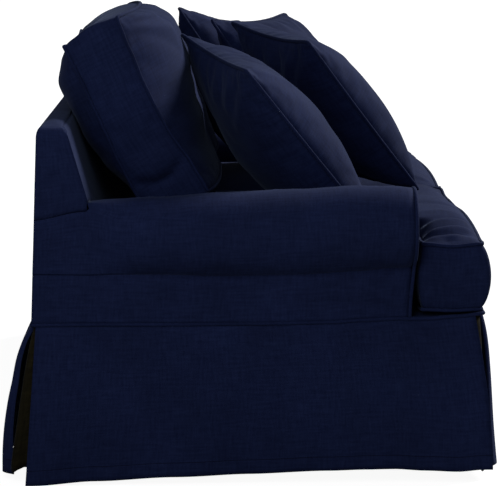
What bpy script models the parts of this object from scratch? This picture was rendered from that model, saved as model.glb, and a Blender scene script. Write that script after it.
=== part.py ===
"""Slipcover set of a rolled-arm sofa: a hollow body cover with a kick-pleated skirt, two T-shaped seat
cushions, two box back cushions and four throw pillows, all in one navy cloth with self piping.

Metres, +Z up. The front faces -Y, the arms are at -X and +X, and the origin is on the floor under the
middle of the cover. Cloth pieces are thin solids, filled cushions are closed solids.
"""

import math
from collections import namedtuple

import bmesh
import bpy
from mathutils import Euler, Matrix, Vector
from mathutils.bvhtree import BVHTree

# ---- cloth and seams
CLOTH = 0.002  # thickness of one sewn layer
CORD_R = 0.004  # radius of the piping
GAP = 0.0004  # left between pieces that touch
CORD_SIDES = 4

# ---- body of the cover
OUTER_X = 1.030  # outside of the arm panels
INNER_X = 0.820  # inside face of the arms
SKIRT_Y = 0.5415  # reach of the front and back hems
FRONT_Y = -0.505  # skirt seam at the front
DECK_Z = 0.3615  # top of the seat deck
BORDER_REAR_Y = -0.344  # where the deck border meets the deck
BACK_TOP_Z = 0.765
BACK_LOW_Y, BACK_HIGH_Y = 0.4725, 0.4575  # outside back at the skirt seam and at the top
INSIDE_TOP_Y, INSIDE_LEAN = 0.395, 0.295  # inside back at the top, and how far it leans per metre

# ---- rolled arms
ROLL_X = 0.985  # middle of the roll
ROLL_HALF_W = 0.090
ROLL_FOOT_ANGLE = math.radians(-60)  # where the roll meets the outer arm panel
ARM_CURVE_DROP = 0.110  # height of the curve from the top of the roll to the inner face
ARM_REAR_Y = 0.352  # rear end of the roll, where the back's side panel begins
ARM_FRONT_Y = -0.356  # middle of the piping round the arm's front
ARM_FRONT_TUCK = 0.011  # how far the arm's front is drawn in at its foot

# ---- loose cushions
SEAT_X = (0.0125, 0.806, 1.020)  # inner end, inner arm side and outer side of the ear
SEAT_Y = (-0.500, -0.374, 0.262)  # front, back of the ear, rear end
SEAT_Z = (0.378, 0.511)  # bottom and top seams
BACK_CUSHION_X = (0.0185, 0.800)
PILLOW_SIDE = 0.478
PILLOW_SEAM = 0.007  # height of the narrow edge that the piping is sewn to

ArmStation = namedtuple("ArmStation", "y top_z crease_z roll")
ARM_STATIONS = (
    ArmStation(-0.360, 0.634, 0.472, 1.00),
    ArmStation(-0.310, 0.639, 0.469, 1.00),
    ArmStation(-0.230, 0.639, 0.462, 1.00),
    ArmStation(-0.100, 0.632, 0.455, 1.00),
    ArmStation(0.060, 0.625, 0.452, 1.00),
    ArmStation(0.200, 0.616, 0.456, 0.85),
    ArmStation(0.300, 0.610, 0.457, 0.35),
    ArmStation(0.352, 0.606, 0.457, 0.00),
    ArmStation(0.480, 0.600, 0.458, 0.00),
)

SkirtStation = namedtuple("SkirtStation", "y seam_z hem_z flare")
SIDE_SKIRT = (
    SkirtStation(-0.505, 0.367, 0.030, 0.034),
    SkirtStation(-0.450, 0.361, 0.026, 0.036),
    SkirtStation(-0.380, 0.356, 0.028, 0.034),
    SkirtStation(-0.310, 0.356, 0.031, 0.030),
    SkirtStation(-0.250, 0.353, 0.030, 0.028),
    SkirtStation(-0.170, 0.348, 0.028, 0.029),
    SkirtStation(0.000, 0.345, 0.022, 0.033),
    SkirtStation(0.160, 0.344, 0.016, 0.034),
    SkirtStation(0.333, 0.344, 0.009, 0.042),
    SkirtStation(0.475, 0.343, 0.001, 0.052),
)

# How each back cushion leans, how tall and full it stands, how far its lower front slumps forward,
# how much flatter it is pressed at its outer end, and how far its foot bulges down.
CushionPose = namedtuple("CushionPose", "side y z lean height fullness slump pressed foot")
BACK_CUSHIONS = {
    "left": CushionPose(-1, 0.2475, 0.7695, math.radians(28.5), 0.442, 1.00, 0.000, 0.00, 0.030),
    "right": CushionPose(1, 0.2475, 0.7200, math.radians(30.5), 0.368, 1.06, 0.078, 0.85, 0.010),
}
SEAT_REAR_CROWN = {"left": 0.026, "right": 0.012}

Dent = namedtuple("Dent", "x y reach depth")
SEAT_DENTS = (Dent(-0.30, -0.40, 0.11, 0.012), Dent(0.70, -0.24, 0.12, 0.014))

# How far the back cushion's faces stand off its middle plane at each height: at the seams of its ends,
# and half way between them, where the filling pushes both faces out.
CushionRow = namedtuple("CushionRow", "height back_seam back_middle front_seam front_middle")
BACK_CUSHION_ROWS = (
    CushionRow(-1.00, -0.070, -0.062, 0.057, 0.088),
    CushionRow(-0.92, -0.080, -0.078, 0.058, 0.088),
    CushionRow(-0.66, -0.086, -0.092, 0.056, 0.089),
    CushionRow(-0.25, -0.085, -0.122, 0.046, 0.106),
    CushionRow(0.05, -0.079, -0.133, 0.046, 0.127),
    CushionRow(0.25, -0.076, -0.136, 0.048, 0.150),
    CushionRow(0.66, -0.070, -0.120, 0.057, 0.158),
    CushionRow(0.92, -0.069, -0.090, 0.063, 0.138),
    CushionRow(1.00, -0.069, -0.064, 0.066, 0.104),
)

PillowPose = namedtuple("PillowPose", "x y z turn lean roll front back")
PILLOWS = {
    "pillow_arm_left": PillowPose(-0.633, -0.0615, 0.744, 12.0, -40.6, -9.1, 0.092, 0.085),
    "pillow_mid_left": PillowPose(-0.178, -0.1935, 0.747, 19.1, -39.7, -4.2, 0.102, 0.080),
    "pillow_mid_right": PillowPose(0.323, -0.1500, 0.752, -25.4, -37.6, 0.2, 0.095, 0.080),
    "pillow_arm_right": PillowPose(0.577, -0.0395, 0.762, -16.0, -37.0, 8.5, 0.080, 0.127),
}


# ------------------------------------------------------------------ general helpers


def clear_scene():
    for obj in list(bpy.data.objects):
        bpy.data.objects.remove(obj)


def cloth_material(name, colour):
    made = bpy.data.materials.new(name)
    made.use_nodes = True
    shader = made.node_tree.nodes["Principled BSDF"]
    shader.inputs["Base Color"].default_value = (*colour, 1.0)
    shader.inputs["Roughness"].default_value = 0.9
    shader.inputs["Metallic"].default_value = 0.0
    return made


def blend(low, high, share):
    return low + (high - low) * share


def smooth(low, high, value):
    share = min(max((value - low) / (high - low), 0.0), 1.0)
    return share * share * (3 - 2 * share)


def read(stations, place, column):
    """The value of a column at a place along its stations, eased between the two on either side."""
    place = min(max(place, stations[0][0]), stations[-1][0])
    for here, after in zip(stations, stations[1:]):
        if place <= after[0]:
            share = smooth(here[0], after[0], place)
            return blend(getattr(here, column), getattr(after, column), share)
    return getattr(stations[-1], column)


def spread(low, high, count):
    """count + 1 even values from low to high."""
    return [blend(low, high, i / count) for i in range(count + 1)]


def eased(low, high, count):
    """count + 1 values from low to high, closer together towards both ends."""
    return [
        blend(low, high, 0.5 - 0.5 * math.copysign(abs(math.cos(math.pi * i / count)) ** 0.8,
                                                   math.cos(math.pi * i / count)))
        for i in range(count + 1)
    ]


def add_object(name, mesh, material):
    obj = bpy.data.objects.new(name, mesh)
    mesh.materials.append(material)
    mesh.shade_smooth()
    mesh.set_sharp_from_angle(angle=math.radians(50))
    bpy.context.scene.collection.objects.link(obj)
    return obj


def cloth_sheet(name, rows, facing, material, keep=lambda i, j: True):
    """A sheet one cloth thick behind the points in rows; keep says which cells of the grid are cloth."""
    faces = []
    width = len(rows[0])
    for i in range(len(rows) - 1):
        for j in range(width - 1):
            if keep(i, j):
                start = i * width + j
                faces.append((start, start + 1, start + width + 1, start + width))
    built = bmesh.new()
    points = [built.verts.new(p) for row in rows for p in row]
    for face in faces:
        built.faces.new([points[i] for i in face])
    bmesh.ops.delete(built, geom=[v for v in built.verts if not v.link_faces], context="VERTS")
    built.normal_update()
    outward = sum((f.normal * f.calc_area() for f in built.faces), Vector())
    if outward.dot(facing) < 0:
        bmesh.ops.reverse_faces(built, faces=built.faces)
    mesh = bpy.data.meshes.new(name)
    built.to_mesh(mesh)
    built.free()
    obj = add_object(name, mesh, material)
    thick = obj.modifiers.new("cloth", "SOLIDIFY")
    thick.thickness = CLOTH
    thick.offset = -1.0
    return obj


def piping(name, path, material, closed, matrix=None):
    """A cord along path, a list of (point, outward) pairs; outward steadies its section."""
    count = len(path)
    points, faces = [], []
    for i, (point, outward) in enumerate(path):
        ahead = path[(i + 1) % count][0] if closed or i + 1 < count else point
        behind = path[i - 1][0] if closed or i else point
        along = (ahead - behind).normalized()
        across = (outward - along * outward.dot(along)).normalized()
        over = along.cross(across)
        for k in range(CORD_SIDES):
            angle = 2 * math.pi * k / CORD_SIDES
            points.append(point + CORD_R * (math.cos(angle) * across + math.sin(angle) * over))
    for i in range(count if closed else count - 1):
        for k in range(CORD_SIDES):
            low = i * CORD_SIDES
            high = (i + 1) % count * CORD_SIDES
            after = (k + 1) % CORD_SIDES
            faces.append((low + k, low + after, high + after, high + k))
    if not closed:
        faces.append(tuple(reversed(range(CORD_SIDES))))
        faces.append(tuple((count - 1) * CORD_SIDES + k for k in range(CORD_SIDES)))
    mesh = bpy.data.meshes.new(name)
    mesh.from_pydata(points, [], faces)
    turn_outward(mesh)
    obj = add_object(name, mesh, material)
    if matrix is not None:
        obj.matrix_world = matrix
    return obj


def turn_outward(mesh):
    built = bmesh.new()
    built.from_mesh(mesh)
    bmesh.ops.recalc_face_normals(built, faces=built.faces)
    if built.calc_volume(signed=True) < 0:
        bmesh.ops.reverse_faces(built, faces=built.faces)
    built.to_mesh(mesh)
    built.free()


# ------------------------------------------------------------------ filled cushions


def rim_of(cells):
    """The grid corners round the outside of the cells, in order, anticlockwise."""
    steps = set()
    for i, j in cells:
        ring = ((i, j), (i + 1, j), (i + 1, j + 1), (i, j + 1))
        steps |= {(ring[k], ring[(k + 1) % 4]) for k in range(4)}
    after = {a: b for a, b in steps if (b, a) not in steps}
    start = min(after)
    rim = [start]
    while after[rim[-1]] != start:
        rim.append(after[rim[-1]])
    return rim


def outward_in_plan(plan, rim, k):
    """The level direction out of the cushion at corner k of its rim, longer where the rim turns."""
    ahead = Vector(plan[rim[(k + 1) % len(rim)]])
    behind = Vector(plan[rim[k - 1]])
    here = Vector(plan[rim[k]])
    after, before = (ahead - here).normalized(), (here - behind).normalized()
    along = (after + before) / (1 + after.dot(before))
    return Vector((along.y, -along.x, 0.0))


def cushion(name, plan, cells, front, back, bulge, levels, matrix, material):
    """A filled cushion: a front and a back face over the plan, joined round the rim by its boxing.

    plan gives (x, y) at each grid corner, front and back the z of the two faces there, and bulge how
    far the boxing swells there, by a share at each of the levels. Returns the object and its seams.
    """
    corners = sorted({c for i, j in cells for c in ((i, j), (i + 1, j), (i + 1, j + 1), (i, j + 1))})
    rim = rim_of(cells)
    outward = {corner: outward_in_plan(plan, rim, k) for k, corner in enumerate(rim)}
    points, rings = [], []
    for face in (front, back):
        rings.append({})
        for corner in corners:
            rings[-1][corner] = len(points)
            points.append(Vector((*plan[corner], face(corner))))
    walls = [rings[0]]
    for level, swell in levels:
        walls.append({})
        for corner in rim:
            walls[-1][corner] = len(points)
            height = blend(front(corner), back(corner), level)
            points.append(Vector((*plan[corner], height)) + outward[corner] * bulge(corner) * swell)
    walls.append(rings[1])
    faces = []
    for i, j in cells:
        ring = ((i, j), (i + 1, j), (i + 1, j + 1), (i, j + 1))
        faces.append([rings[0][c] for c in ring])
        faces.append([rings[1][c] for c in reversed(ring)])
    for upper, lower in zip(walls, walls[1:]):
        for k, corner in enumerate(rim):
            after = rim[(k + 1) % len(rim)]
            faces.append((upper[after], upper[corner], lower[corner], lower[after]))
    mesh = bpy.data.meshes.new(name)
    mesh.from_pydata(points, [], faces)
    turn_outward(mesh)
    obj = add_object(name, mesh, material)
    obj.matrix_world = matrix
    seams = [[(Vector((*plan[c], face(c))), outward[c]) for c in rim] for face in (front, back)]
    return obj, seams


def seam_cord(seam):
    """The path of a cord lying against the outside of a seam."""
    return [(point + outward * (CORD_R + GAP), outward) for point, outward in seam]


def world_tree(objects):
    """A search tree of the objects' surfaces as they stand."""
    bpy.context.view_layer.update()
    graph = bpy.context.evaluated_depsgraph_get()
    points, faces = [], []
    for obj in objects:
        shown = obj.evaluated_get(graph)
        mesh = shown.to_mesh()
        start = len(points)
        points += [obj.matrix_world @ v.co for v in mesh.vertices]
        faces += [[start + i for i in face.vertices] for face in mesh.polygons]
        shown.to_mesh_clear()
    return BVHTree.FromPolygons(points, faces)


def settle(group, others, direction, reach):
    """Moves the group along direction until it lies one gap from the others, if it comes that far."""
    still = world_tree(others)
    places = [obj.location.copy() for obj in group]

    def touches(distance):
        for obj, place in zip(group, places):
            obj.location = place + direction * distance
        return bool(world_tree(group).overlap(still))

    low, high = -reach, reach
    if not touches(high):
        touches(0.0)
        return
    for _ in range(16):
        middle = (low + high) / 2
        if touches(middle):
            high = middle
        else:
            low = middle
    touches(low - GAP)


# ------------------------------------------------------------------ body of the cover


def outside_back_y(z):
    return blend(BACK_LOW_Y, BACK_HIGH_Y, (z - 0.345) / (BACK_TOP_Z - 0.345))


def inside_back_y(z):
    return INSIDE_TOP_Y - (BACK_TOP_Z - z) * INSIDE_LEAN


def arm_front_y(z):
    return ARM_FRONT_Y + ARM_FRONT_TUCK * (1 - smooth(DECK_Z, 0.52, z))


def roll_half_height(y):
    rise = 1 - math.sin(ROLL_FOOT_ANGLE)
    return (read(ARM_STATIONS, y, "top_z") - read(ARM_STATIONS, y, "crease_z")) / rise


def arm_profile(y, share):
    """(x, z) on the arm's cloth: share 0 is the crease, 1 the top of the roll, 2 the inner face's
    upper end and 3 its foot at the deck."""
    top = read(ARM_STATIONS, y, "top_z")
    if share <= 1:
        half = roll_half_height(y)
        angle = blend(ROLL_FOOT_ANGLE, math.pi / 2, share)
        x = ROLL_X + ROLL_HALF_W * math.cos(angle)
        z = top - half + half * math.sin(angle)
        flat_x = blend(OUTER_X, ROLL_X, smooth(0.72, 1.0, share) ** 2)
        return blend(flat_x, x, read(ARM_STATIONS, y, "roll")), z
    if share <= 2:
        angle = math.pi / 2 * (share - 1)
        x = ROLL_X - (ROLL_X - INNER_X) * math.sin(angle)
        return x, top - ARM_CURVE_DROP * (1 - math.cos(angle))
    return INNER_X, blend(top - ARM_CURVE_DROP, DECK_Z + GAP, share - 2)


OUTER_SHARES = (0.0, 0.15, 0.31, 0.47, 0.62)  # crease to the foot of the back's side panel
TOP_SHARES = (0.76, 0.88, 1.0, 1.2, 1.45, 1.7, 1.88, 2.0, 2.5, 3.0)


def arm_end_y(share):
    """Where the arm's cloth ends under the inside back."""
    y = ARM_REAR_Y
    for _ in range(4):
        y = inside_back_y(arm_profile(y, share)[1]) + CLOTH
    return y


def arm_wrap(name, side, material):
    """Inner arm, roll and the strip down to the crease: one cloth, longer at the rear outside."""
    rows = []
    for share in OUTER_SHARES + TOP_SHARES:
        row = []
        rear = ARM_REAR_Y if share <= OUTER_SHARES[-1] else arm_end_y(share)
        for y in arm_ys(arm_profile(0.1, share)[1], rear):
            x, z = arm_profile(y, share)
            row.append(Vector((side * x, y, z)))
        rows.append(row)
    outer_rows = len(OUTER_SHARES) - 1
    return cloth_sheet(name, rows, Vector((0, 0, 1)), material, lambda i, j: i < outer_rows or j < 8)


def arm_ys(z, rear):
    """Where the grid of the arm's cloth stands from its front to its rear end, then to the back."""
    return spread(arm_front_y(z) + CORD_R + 2 * GAP, rear, 8) + spread(rear, outside_back_y(z), 2)[1:]


def outer_arm(name, side, material):
    """The flat panel between the crease under the roll and the skirt seam."""
    rows = []
    for share in spread(0, 1, 3):
        row = []
        for y in arm_ys(blend(0.36, arm_profile(0.1, 0)[1], share), ARM_REAR_Y):
            low = read(SIDE_SKIRT, y, "seam_z") + CORD_R + 3.5 * GAP
            high = read(ARM_STATIONS, y, "crease_z") - GAP
            row.append(Vector((side * OUTER_X, y, blend(low, high, share))))
        rows.append(row)
    return cloth_sheet(name, rows, Vector((side, 0, 0)), material)


def back_side(name, side, material):
    """The upright side panel of the back, above the rear end of the arm."""
    rows = []
    for share in spread(0, 1, 5):
        row = []
        for k in range(4):
            z_low = arm_profile(blend(ARM_REAR_Y, BACK_LOW_Y, k / 3), OUTER_SHARES[-1])[1] + 2 * GAP
            z = blend(z_low, BACK_TOP_Z - CLOTH - GAP, share)
            y = blend(max(inside_back_y(z), ARM_REAR_Y), outside_back_y(z), k / 3)
            row.append(Vector((side * OUTER_X, y, z)))
        rows.append(row)
    return cloth_sheet(name, rows, Vector((side, 0, 0)), material)


def outside_back(material):
    reach = OUTER_X - CLOTH - GAP
    rows = []
    for share in spread(0, 1, 6):
        z = blend(0.352 + CORD_R + GAP, BACK_TOP_Z - CLOTH - GAP, share)
        rows.append([Vector((x, outside_back_y(z), z)) for x in spread(-reach, reach, 10)])
    return cloth_sheet("outside_back", rows, Vector((0, 1, 0)), material)


def inside_back(material):
    """The leaning panel behind the cushions, with a narrow panel sewn to each side of it over the arm."""
    reach = OUTER_X - CLOTH - GAP
    top = BACK_TOP_Z - CLOTH - GAP
    arm_line = [arm_profile(arm_end_y(share), share) for share in OUTER_SHARES[-1:] + TOP_SHARES[:8]]
    over_arm = [(reach, height_on(arm_line, reach))] + [p for p in arm_line[1:] if p[0] < reach]
    panels = []
    rows = []
    for z in spread(DECK_Z, top, 6):
        rows.append([Vector((x, inside_back_y(z), z)) for x in spread(GAP - INNER_X, INNER_X - GAP, 8)])
    panels.append(cloth_sheet("inside_back", rows, Vector((0, -1, 0)), material))
    for name, side in (("left", -1), ("right", 1)):
        rows = []
        for share in spread(0, 1, 4):
            row = []
            for x, low in over_arm:
                z = blend(low + 2 * GAP, top, share)
                row.append(Vector((side * x, inside_back_y(z), z)))
            rows.append(row)
        panels.append(cloth_sheet("inside_back_over_arm_" + name, rows, Vector((0, -1, 0)), material))
    return panels


def height_on(line, x):
    """Height at x of a line of (x, z) points that runs towards smaller x."""
    for (x_high, z_low), (x_low, z_high) in zip(line, line[1:]):
        if x_low <= x <= x_high:
            return blend(z_low, z_high, (x_high - x) / (x_high - x_low))
    return line[-1][1]


def back_top_band(material):
    """The strip along the top of the back, lightly crowned."""
    rows = []
    for share in spread(0, 1, 4):
        y = blend(inside_back_y(BACK_TOP_Z), outside_back_y(BACK_TOP_Z), share)
        z = BACK_TOP_Z + 0.004 * math.sin(math.pi * share)
        rows.append([Vector((x, y, z)) for x in spread(-OUTER_X, OUTER_X, 10)])
    return cloth_sheet("back_top_band", rows, Vector((0, 0, 1)), material)


def seat_deck(material):
    reach = INNER_X - GAP
    ys = spread(BORDER_REAR_Y + GAP, inside_back_y(DECK_Z) - GAP, 5)
    rows = [[Vector((x, y, DECK_Z)) for x in spread(-reach, reach, 8)] for y in ys]
    return cloth_sheet("seat_deck", rows, Vector((0, 0, 1)), material)


def deck_border(material):
    """The strip under the front of the seat cushions, which rises to the skirt seam at its ends."""
    reach = OUTER_X - CLOTH / 2 - CORD_R - GAP
    rows = []
    for y in spread(FRONT_Y + CORD_R + GAP, BORDER_REAR_Y, 5):
        row = []
        here = reach - 0.008 * smooth(-0.47, -0.50, y)
        for x in spread(-here, here, 24):
            edge = max(smooth(0.95, 1.0, abs(x) / reach), smooth(-0.47, -0.50, y))
            seam = read(SIDE_SKIRT, y, "seam_z")
            row.append(Vector((x, y, blend(DECK_Z, max(DECK_Z, seam + CLOTH / 2), edge))))
        rows.append(row)
    return cloth_sheet("deck_border", rows, Vector((0, 0, 1)), material)


def arm_front_outline(y_shift):
    """The arm's front outline, from the inner foot over the roll to the outer foot, each point with
    its outward direction, drawn in by y_shift from the middle of the cloth."""
    shares = spread(3, 2, 4) + spread(2, 1, 5)[1:] + spread(1, 0, 8)[1:]
    outline = [Vector(arm_profile(ARM_FRONT_Y, s)) for s in shares]
    foot = read(SIDE_SKIRT, ARM_FRONT_Y, "seam_z") + 2 * CORD_R + 3 * GAP
    outline += [Vector((OUTER_X, z)) for z in spread(outline[-1].y, foot, 3)[1:]]
    outline[0].y = foot
    placed = []
    for k, here in enumerate(outline):
        ahead = outline[min(k + 1, len(outline) - 1)]
        behind = outline[max(k - 1, 0)]
        along = (ahead - behind).normalized()
        outward = Vector((-along.y, along.x))
        placed.append((here - outward * (CLOTH / 2 + y_shift), outward))
    return placed


def arm_front_piping(name, side, material):
    path = []
    for flat, outward in arm_front_outline(0.0):
        point = Vector((side * flat.x, arm_front_y(flat.y), flat.y))
        path.append((point, Vector((side * outward.x, 0, outward.y))))
    return piping(name, path, material, closed=False)


def arm_front(name, side, material):
    """The flat panel that closes the arm's front, inside its piping."""
    outline = [flat for flat, _ in arm_front_outline(CORD_R + GAP)]
    spine_x = (INNER_X + OUTER_X) / 2
    low, high = outline[0].y, max(p.y for p in outline)
    rows = []
    for ring in (1.0, 0.62, 0.25, 0.02):
        row = []
        for flat in outline:
            middle = Vector((spine_x, min(max(flat.y, low), high - 0.09)))
            place = blend(middle, flat, ring)
            swell = 0.004 * (1 - ring * ring)
            row.append(Vector((side * place.x, arm_front_y(place.y) - CLOTH / 2 - swell, place.y)))
        rows.append(row)
    return cloth_sheet(name, rows, Vector((0, -1, 0)), material)


# ------------------------------------------------------------------ skirt


def seam_height(x, y):
    """Height of the skirt seam: the sides follow their stations, front and back lie level."""
    inward = smooth(OUTER_X, OUTER_X - 0.12, abs(x))
    level = 0.367 if y < 0 else 0.345
    return blend(read(SIDE_SKIRT, y, "seam_z"), level, inward)


def cross_skirt_xs(drop):
    """Where the grid of the front and back panels stands, closer together at the corners."""
    half = blend(OUTER_X - 0.026, OUTER_X - 0.008, drop)
    return [half * share for share in eased(-1, 1, 28)]


def side_skirt_ys(drop):
    """The same for a side panel, from the rear to the front."""
    rear = blend(0.463, 0.485, drop)
    front = -0.487 - 0.038 * math.sin(math.pi / 2 * drop)
    return spread(rear, front, 20)


def seam_ring():
    """The piping's path round the whole skirt seam, with small rounded corners."""
    half_x = OUTER_X - CLOTH / 2
    round_r = 0.008
    front = [(x, FRONT_Y, Vector((0, -1, 0))) for x in cross_skirt_xs(0)]
    right = [(half_x, y, Vector((1, 0, 0))) for y in reversed(side_skirt_ys(0))]
    rear = [(x, BACK_LOW_Y, Vector((0, 1, 0))) for x in reversed(cross_skirt_xs(0))]
    left = [(-half_x, y, Vector((-1, 0, 0))) for y in side_skirt_ys(0)]
    corners = ((1, FRONT_Y, -90), (1, BACK_LOW_Y, 0), (-1, BACK_LOW_Y, 90), (-1, FRONT_Y, 180))
    path = []
    for run, (side, y, start) in zip((front, right, rear, left), corners):
        path += run
        for step in (0, 1, 2):
            angle = math.radians(start + 45 * step)
            outward = Vector((math.cos(angle), math.sin(angle), 0))
            x = side * (half_x - round_r) + round_r * outward.x
            path.append((x, y - math.copysign(round_r, y) + round_r * outward.y, outward))
    return [(Vector((x, y, seam_height(x, y))), outward) for x, y, outward in path]


def side_skirt(name, side, material):
    """A side panel of the skirt: flared, fuller at its rear corner, where it reaches the floor."""
    rows = []
    for drop in spread(0, 1, 6):
        row = []
        for k, y in enumerate(side_skirt_ys(drop)):
            wave = 0.003 * math.sin(k * 1.3) * drop
            x = OUTER_X + read(SIDE_SKIRT, y, "flare") * drop**1.25 + wave
            high = read(SIDE_SKIRT, y, "seam_z") - CORD_R - GAP
            row.append(Vector((side * x, y, blend(high, read(SIDE_SKIRT, y, "hem_z"), drop))))
        rows.append(row)
    return cloth_sheet(name, rows, Vector((side, 0, 0)), material)


def back_skirt_reach(drop):
    return BACK_LOW_Y + (SKIRT_Y - BACK_LOW_Y) * (1 - (1 - drop) ** 1.5)


def front_skirt_reach(drop):
    early = 0.022 * (1 - math.exp(-drop / 0.2)) / (1 - math.exp(-5))
    return -(abs(FRONT_Y) + early + (SKIRT_Y - abs(FRONT_Y) - 0.022) * drop**2.5)


def cross_skirt(name, reach, hem_z, curl_top, curl_hem, facing, material):
    """The front or back panel of the skirt, its ends curling a little round the corners."""
    rows = []
    for drop in spread(0, 1, 6):
        row = []
        xs = cross_skirt_xs(drop)
        for x in xs:
            share = x / xs[-1]
            curl = blend(curl_top, curl_hem, drop) * smooth(0.955, 1.0, abs(share))
            wave = 0.004 * drop * math.cos(9 * share) * (1 - share**8)
            y = reach(drop) - facing * (curl + max(wave, 0.0))
            high = seam_height(x, facing * SKIRT_Y) - CORD_R - GAP
            hem = hem_z + 0.004 * math.sin(5 * share) ** 2
            row.append(Vector((x, y, blend(high, hem, drop))))
        rows.append(row)
    return cloth_sheet(name, rows, Vector((0, facing, 0)), material)


def kick_pleat(name, side, facing, material):
    """The underlay behind a corner of the skirt: a strip folded round the corner, inside both panels."""
    leg = 0.090
    corner_top = Vector((OUTER_X - CLOTH - GAP, 0.466 if facing > 0 else 0.498))
    corner_hem = Vector((OUTER_X + 0.012, 0.512))
    rows = []
    for drop in spread(0, 1, 4):
        corner = blend(corner_top, corner_hem, drop**1.1)
        row = []
        for k in range(9):
            along = (k - 4) / 4
            fold = max(0.0, 1 - abs(along) * 4) * 0.006
            x = corner.x - fold - leg * max(0.0, along)
            y = corner.y - fold - leg * max(0.0, -along)
            high = seam_height(x, facing * y) - 2 * CORD_R
            z = blend(high, 0.042 - 0.016 * abs(along), drop)
            row.append(Vector((side * x, facing * y, z)))
        rows.append(row)
    return cloth_sheet(name, rows, Vector((side, facing, 0)), material)


# ------------------------------------------------------------------ loose cushions


def seat_cushion(name, side, rear_crown, material):
    """A T-shaped box cushion: its ear reaches out in front of the arm."""
    inner, arm, ear = SEAT_X
    front, notch, rear = SEAT_Y
    xs = eased(inner, arm, 8) + spread(arm, ear, 3)[1:]
    ys = spread(front, notch, 3) + eased(notch, rear, 7)[1:]
    cells = [(i, j) for i in range(len(xs) - 1) for j in range(len(ys) - 1) if i < 8 or j < 3]
    rim = rim_of(cells)
    corners = [(x, y) for x, y in ((inner, front), (ear, front), (ear, notch), (arm, rear), (inner, rear))]

    def flat(corner):
        return Vector((xs[corner[0]], ys[corner[1]]))

    def from_rim(corner):
        here = flat(corner)
        return min((here - flat(other)).length for other in rim)

    def lift(corner):
        here = flat(corner)
        return sum(math.exp(-((here - Vector(c)).length / 0.05) ** 2) for c in corners)

    def top(corner):
        here = flat(corner)
        across = min(here.x - inner, ear - here.x if here.y < notch + 0.001 else arm - here.x)
        along = min(here.y - front, (rear if here.x < arm + 0.001 else notch) - here.y)
        crown = blend(0.042, rear_crown, smooth(-0.3, 0.1, here.y)) * (1 - math.exp(-along / 0.022))
        edge = 0.011 * math.sin(math.pi * (here.x - inner) / (ear - inner)) ** 0.7
        middle = 0.008 * math.exp(-((here.x - inner) / 0.06) ** 2)
        rise = edge * (1 - smooth(0, 0.2, along)) + middle * (1 - smooth(front, 0.0, here.y))
        places = ((Vector((side * here.x - dent.x, here.y - dent.y)).length, dent) for dent in SEAT_DENTS)
        sunk = sum(dent.depth * math.exp(-((away / dent.reach) ** 2)) for away, dent in places)
        return SEAT_Z[1] + rise - sunk + 0.008 * lift(corner) + crown * (1 - math.exp(-across / 0.07))

    def bottom(corner):
        return SEAT_Z[0] + 0.004 * lift(corner) - 0.0155 * (1 - math.exp(-from_rim(corner) / 0.03))

    plan = {}
    for i, x in enumerate(xs):
        for j, y in enumerate(ys):
            bow = 0.011 * math.sin(math.pi * (x - inner) / (ear - inner)) if j == 0 else 0.0
            plan[i, j] = (side * x, y - bow)
    if side < 0:
        plan = {(len(xs) - 1 - i, j): place for (i, j), place in plan.items()}
        cells = [(len(xs) - 2 - i, j) for i, j in cells]
        mirrored = lambda corner: (len(xs) - 1 - corner[0], corner[1])
    else:
        mirrored = lambda corner: corner

    def bulge(corner):
        across = mirrored(corner)[0]
        return 0.014 if corner[1] == 0 and across else 0.009 if across else 0.006

    body, (upper, lower) = cushion(
        name, plan, cells, lambda c: top(mirrored(c)), lambda c: bottom(mirrored(c)),
        bulge, ((0.35, 1.0), (0.7, 0.9)), Matrix(), material)
    cords = [
        piping(name + "_piping_top", seam_cord(upper), material, True),
        piping(name + "_piping_bottom", seam_cord(lower), material, True),
    ]
    return [body, *cords]


def back_cushion(name, pose, material):
    """A box cushion that leans on the inside back, fullest in its upper half and soft at its foot."""
    inner, outer = BACK_CUSHION_X
    half_w, half_h = (outer - inner) / 2, pose.height / 2
    us, vs = eased(-1, 1, 10), [row.height for row in BACK_CUSHION_ROWS]
    cells = [(i, j) for i in range(len(us) - 1) for j in range(len(vs) - 1)]

    def share_filled(u, squareness):
        pressed = pose.pressed * (1 + u * pose.side) / 2
        return (1 - abs(u) ** squareness) ** 0.8 * (1 - pressed)

    def front_face(corner):
        u, v = us[corner[0]], vs[corner[1]]
        low, high = (read(BACK_CUSHION_ROWS, v, column) for column in ("front_seam", "front_middle"))
        slump = pose.slump * math.exp(-(((v + 0.4) / 0.75) ** 2))
        return blend(low, high, pose.fullness * share_filled(u, 3.2)) + slump * share_filled(u, 3.2)

    def back_face(corner):
        u, v = us[corner[0]], vs[corner[1]]
        low, high = (read(BACK_CUSHION_ROWS, v, column) for column in ("back_seam", "back_middle"))
        return blend(low, high, pose.fullness * share_filled(u, 8.0))

    def bulge(corner):
        foot = 1 - abs(us[corner[0]]) ** 6
        return blend(0.010, pose.foot, foot) if corner[1] == 0 else 0.010

    plan = {}
    for i, u in enumerate(us):
        for j, v in enumerate(vs):
            ears = 1 - 0.012 * (abs(u) * abs(v)) ** 12
            dip = 0.012 * (1 - u * u) if j == len(vs) - 1 else 0.0
            plan[i, j] = (half_w * u * ears, half_h * v * ears - dip)
    across, up = Vector((1, 0, 0)), Vector((0, math.sin(pose.lean), math.cos(pose.lean)))
    turn = Matrix((across, up, across.cross(up))).transposed().to_4x4()
    placed = Matrix.Translation((pose.side * (inner + outer) / 2, pose.y, pose.z)) @ turn
    body, (front, rear) = cushion(
        name, plan, cells, front_face, back_face, bulge, ((0.3, 0.9), (0.7, 0.9)), placed, material)
    cords = [
        piping(name + "_piping_front", seam_cord(front), material, True, placed),
        piping(name + "_piping_back", seam_cord(rear), material, True, placed),
    ]
    return [body, *cords]


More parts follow.
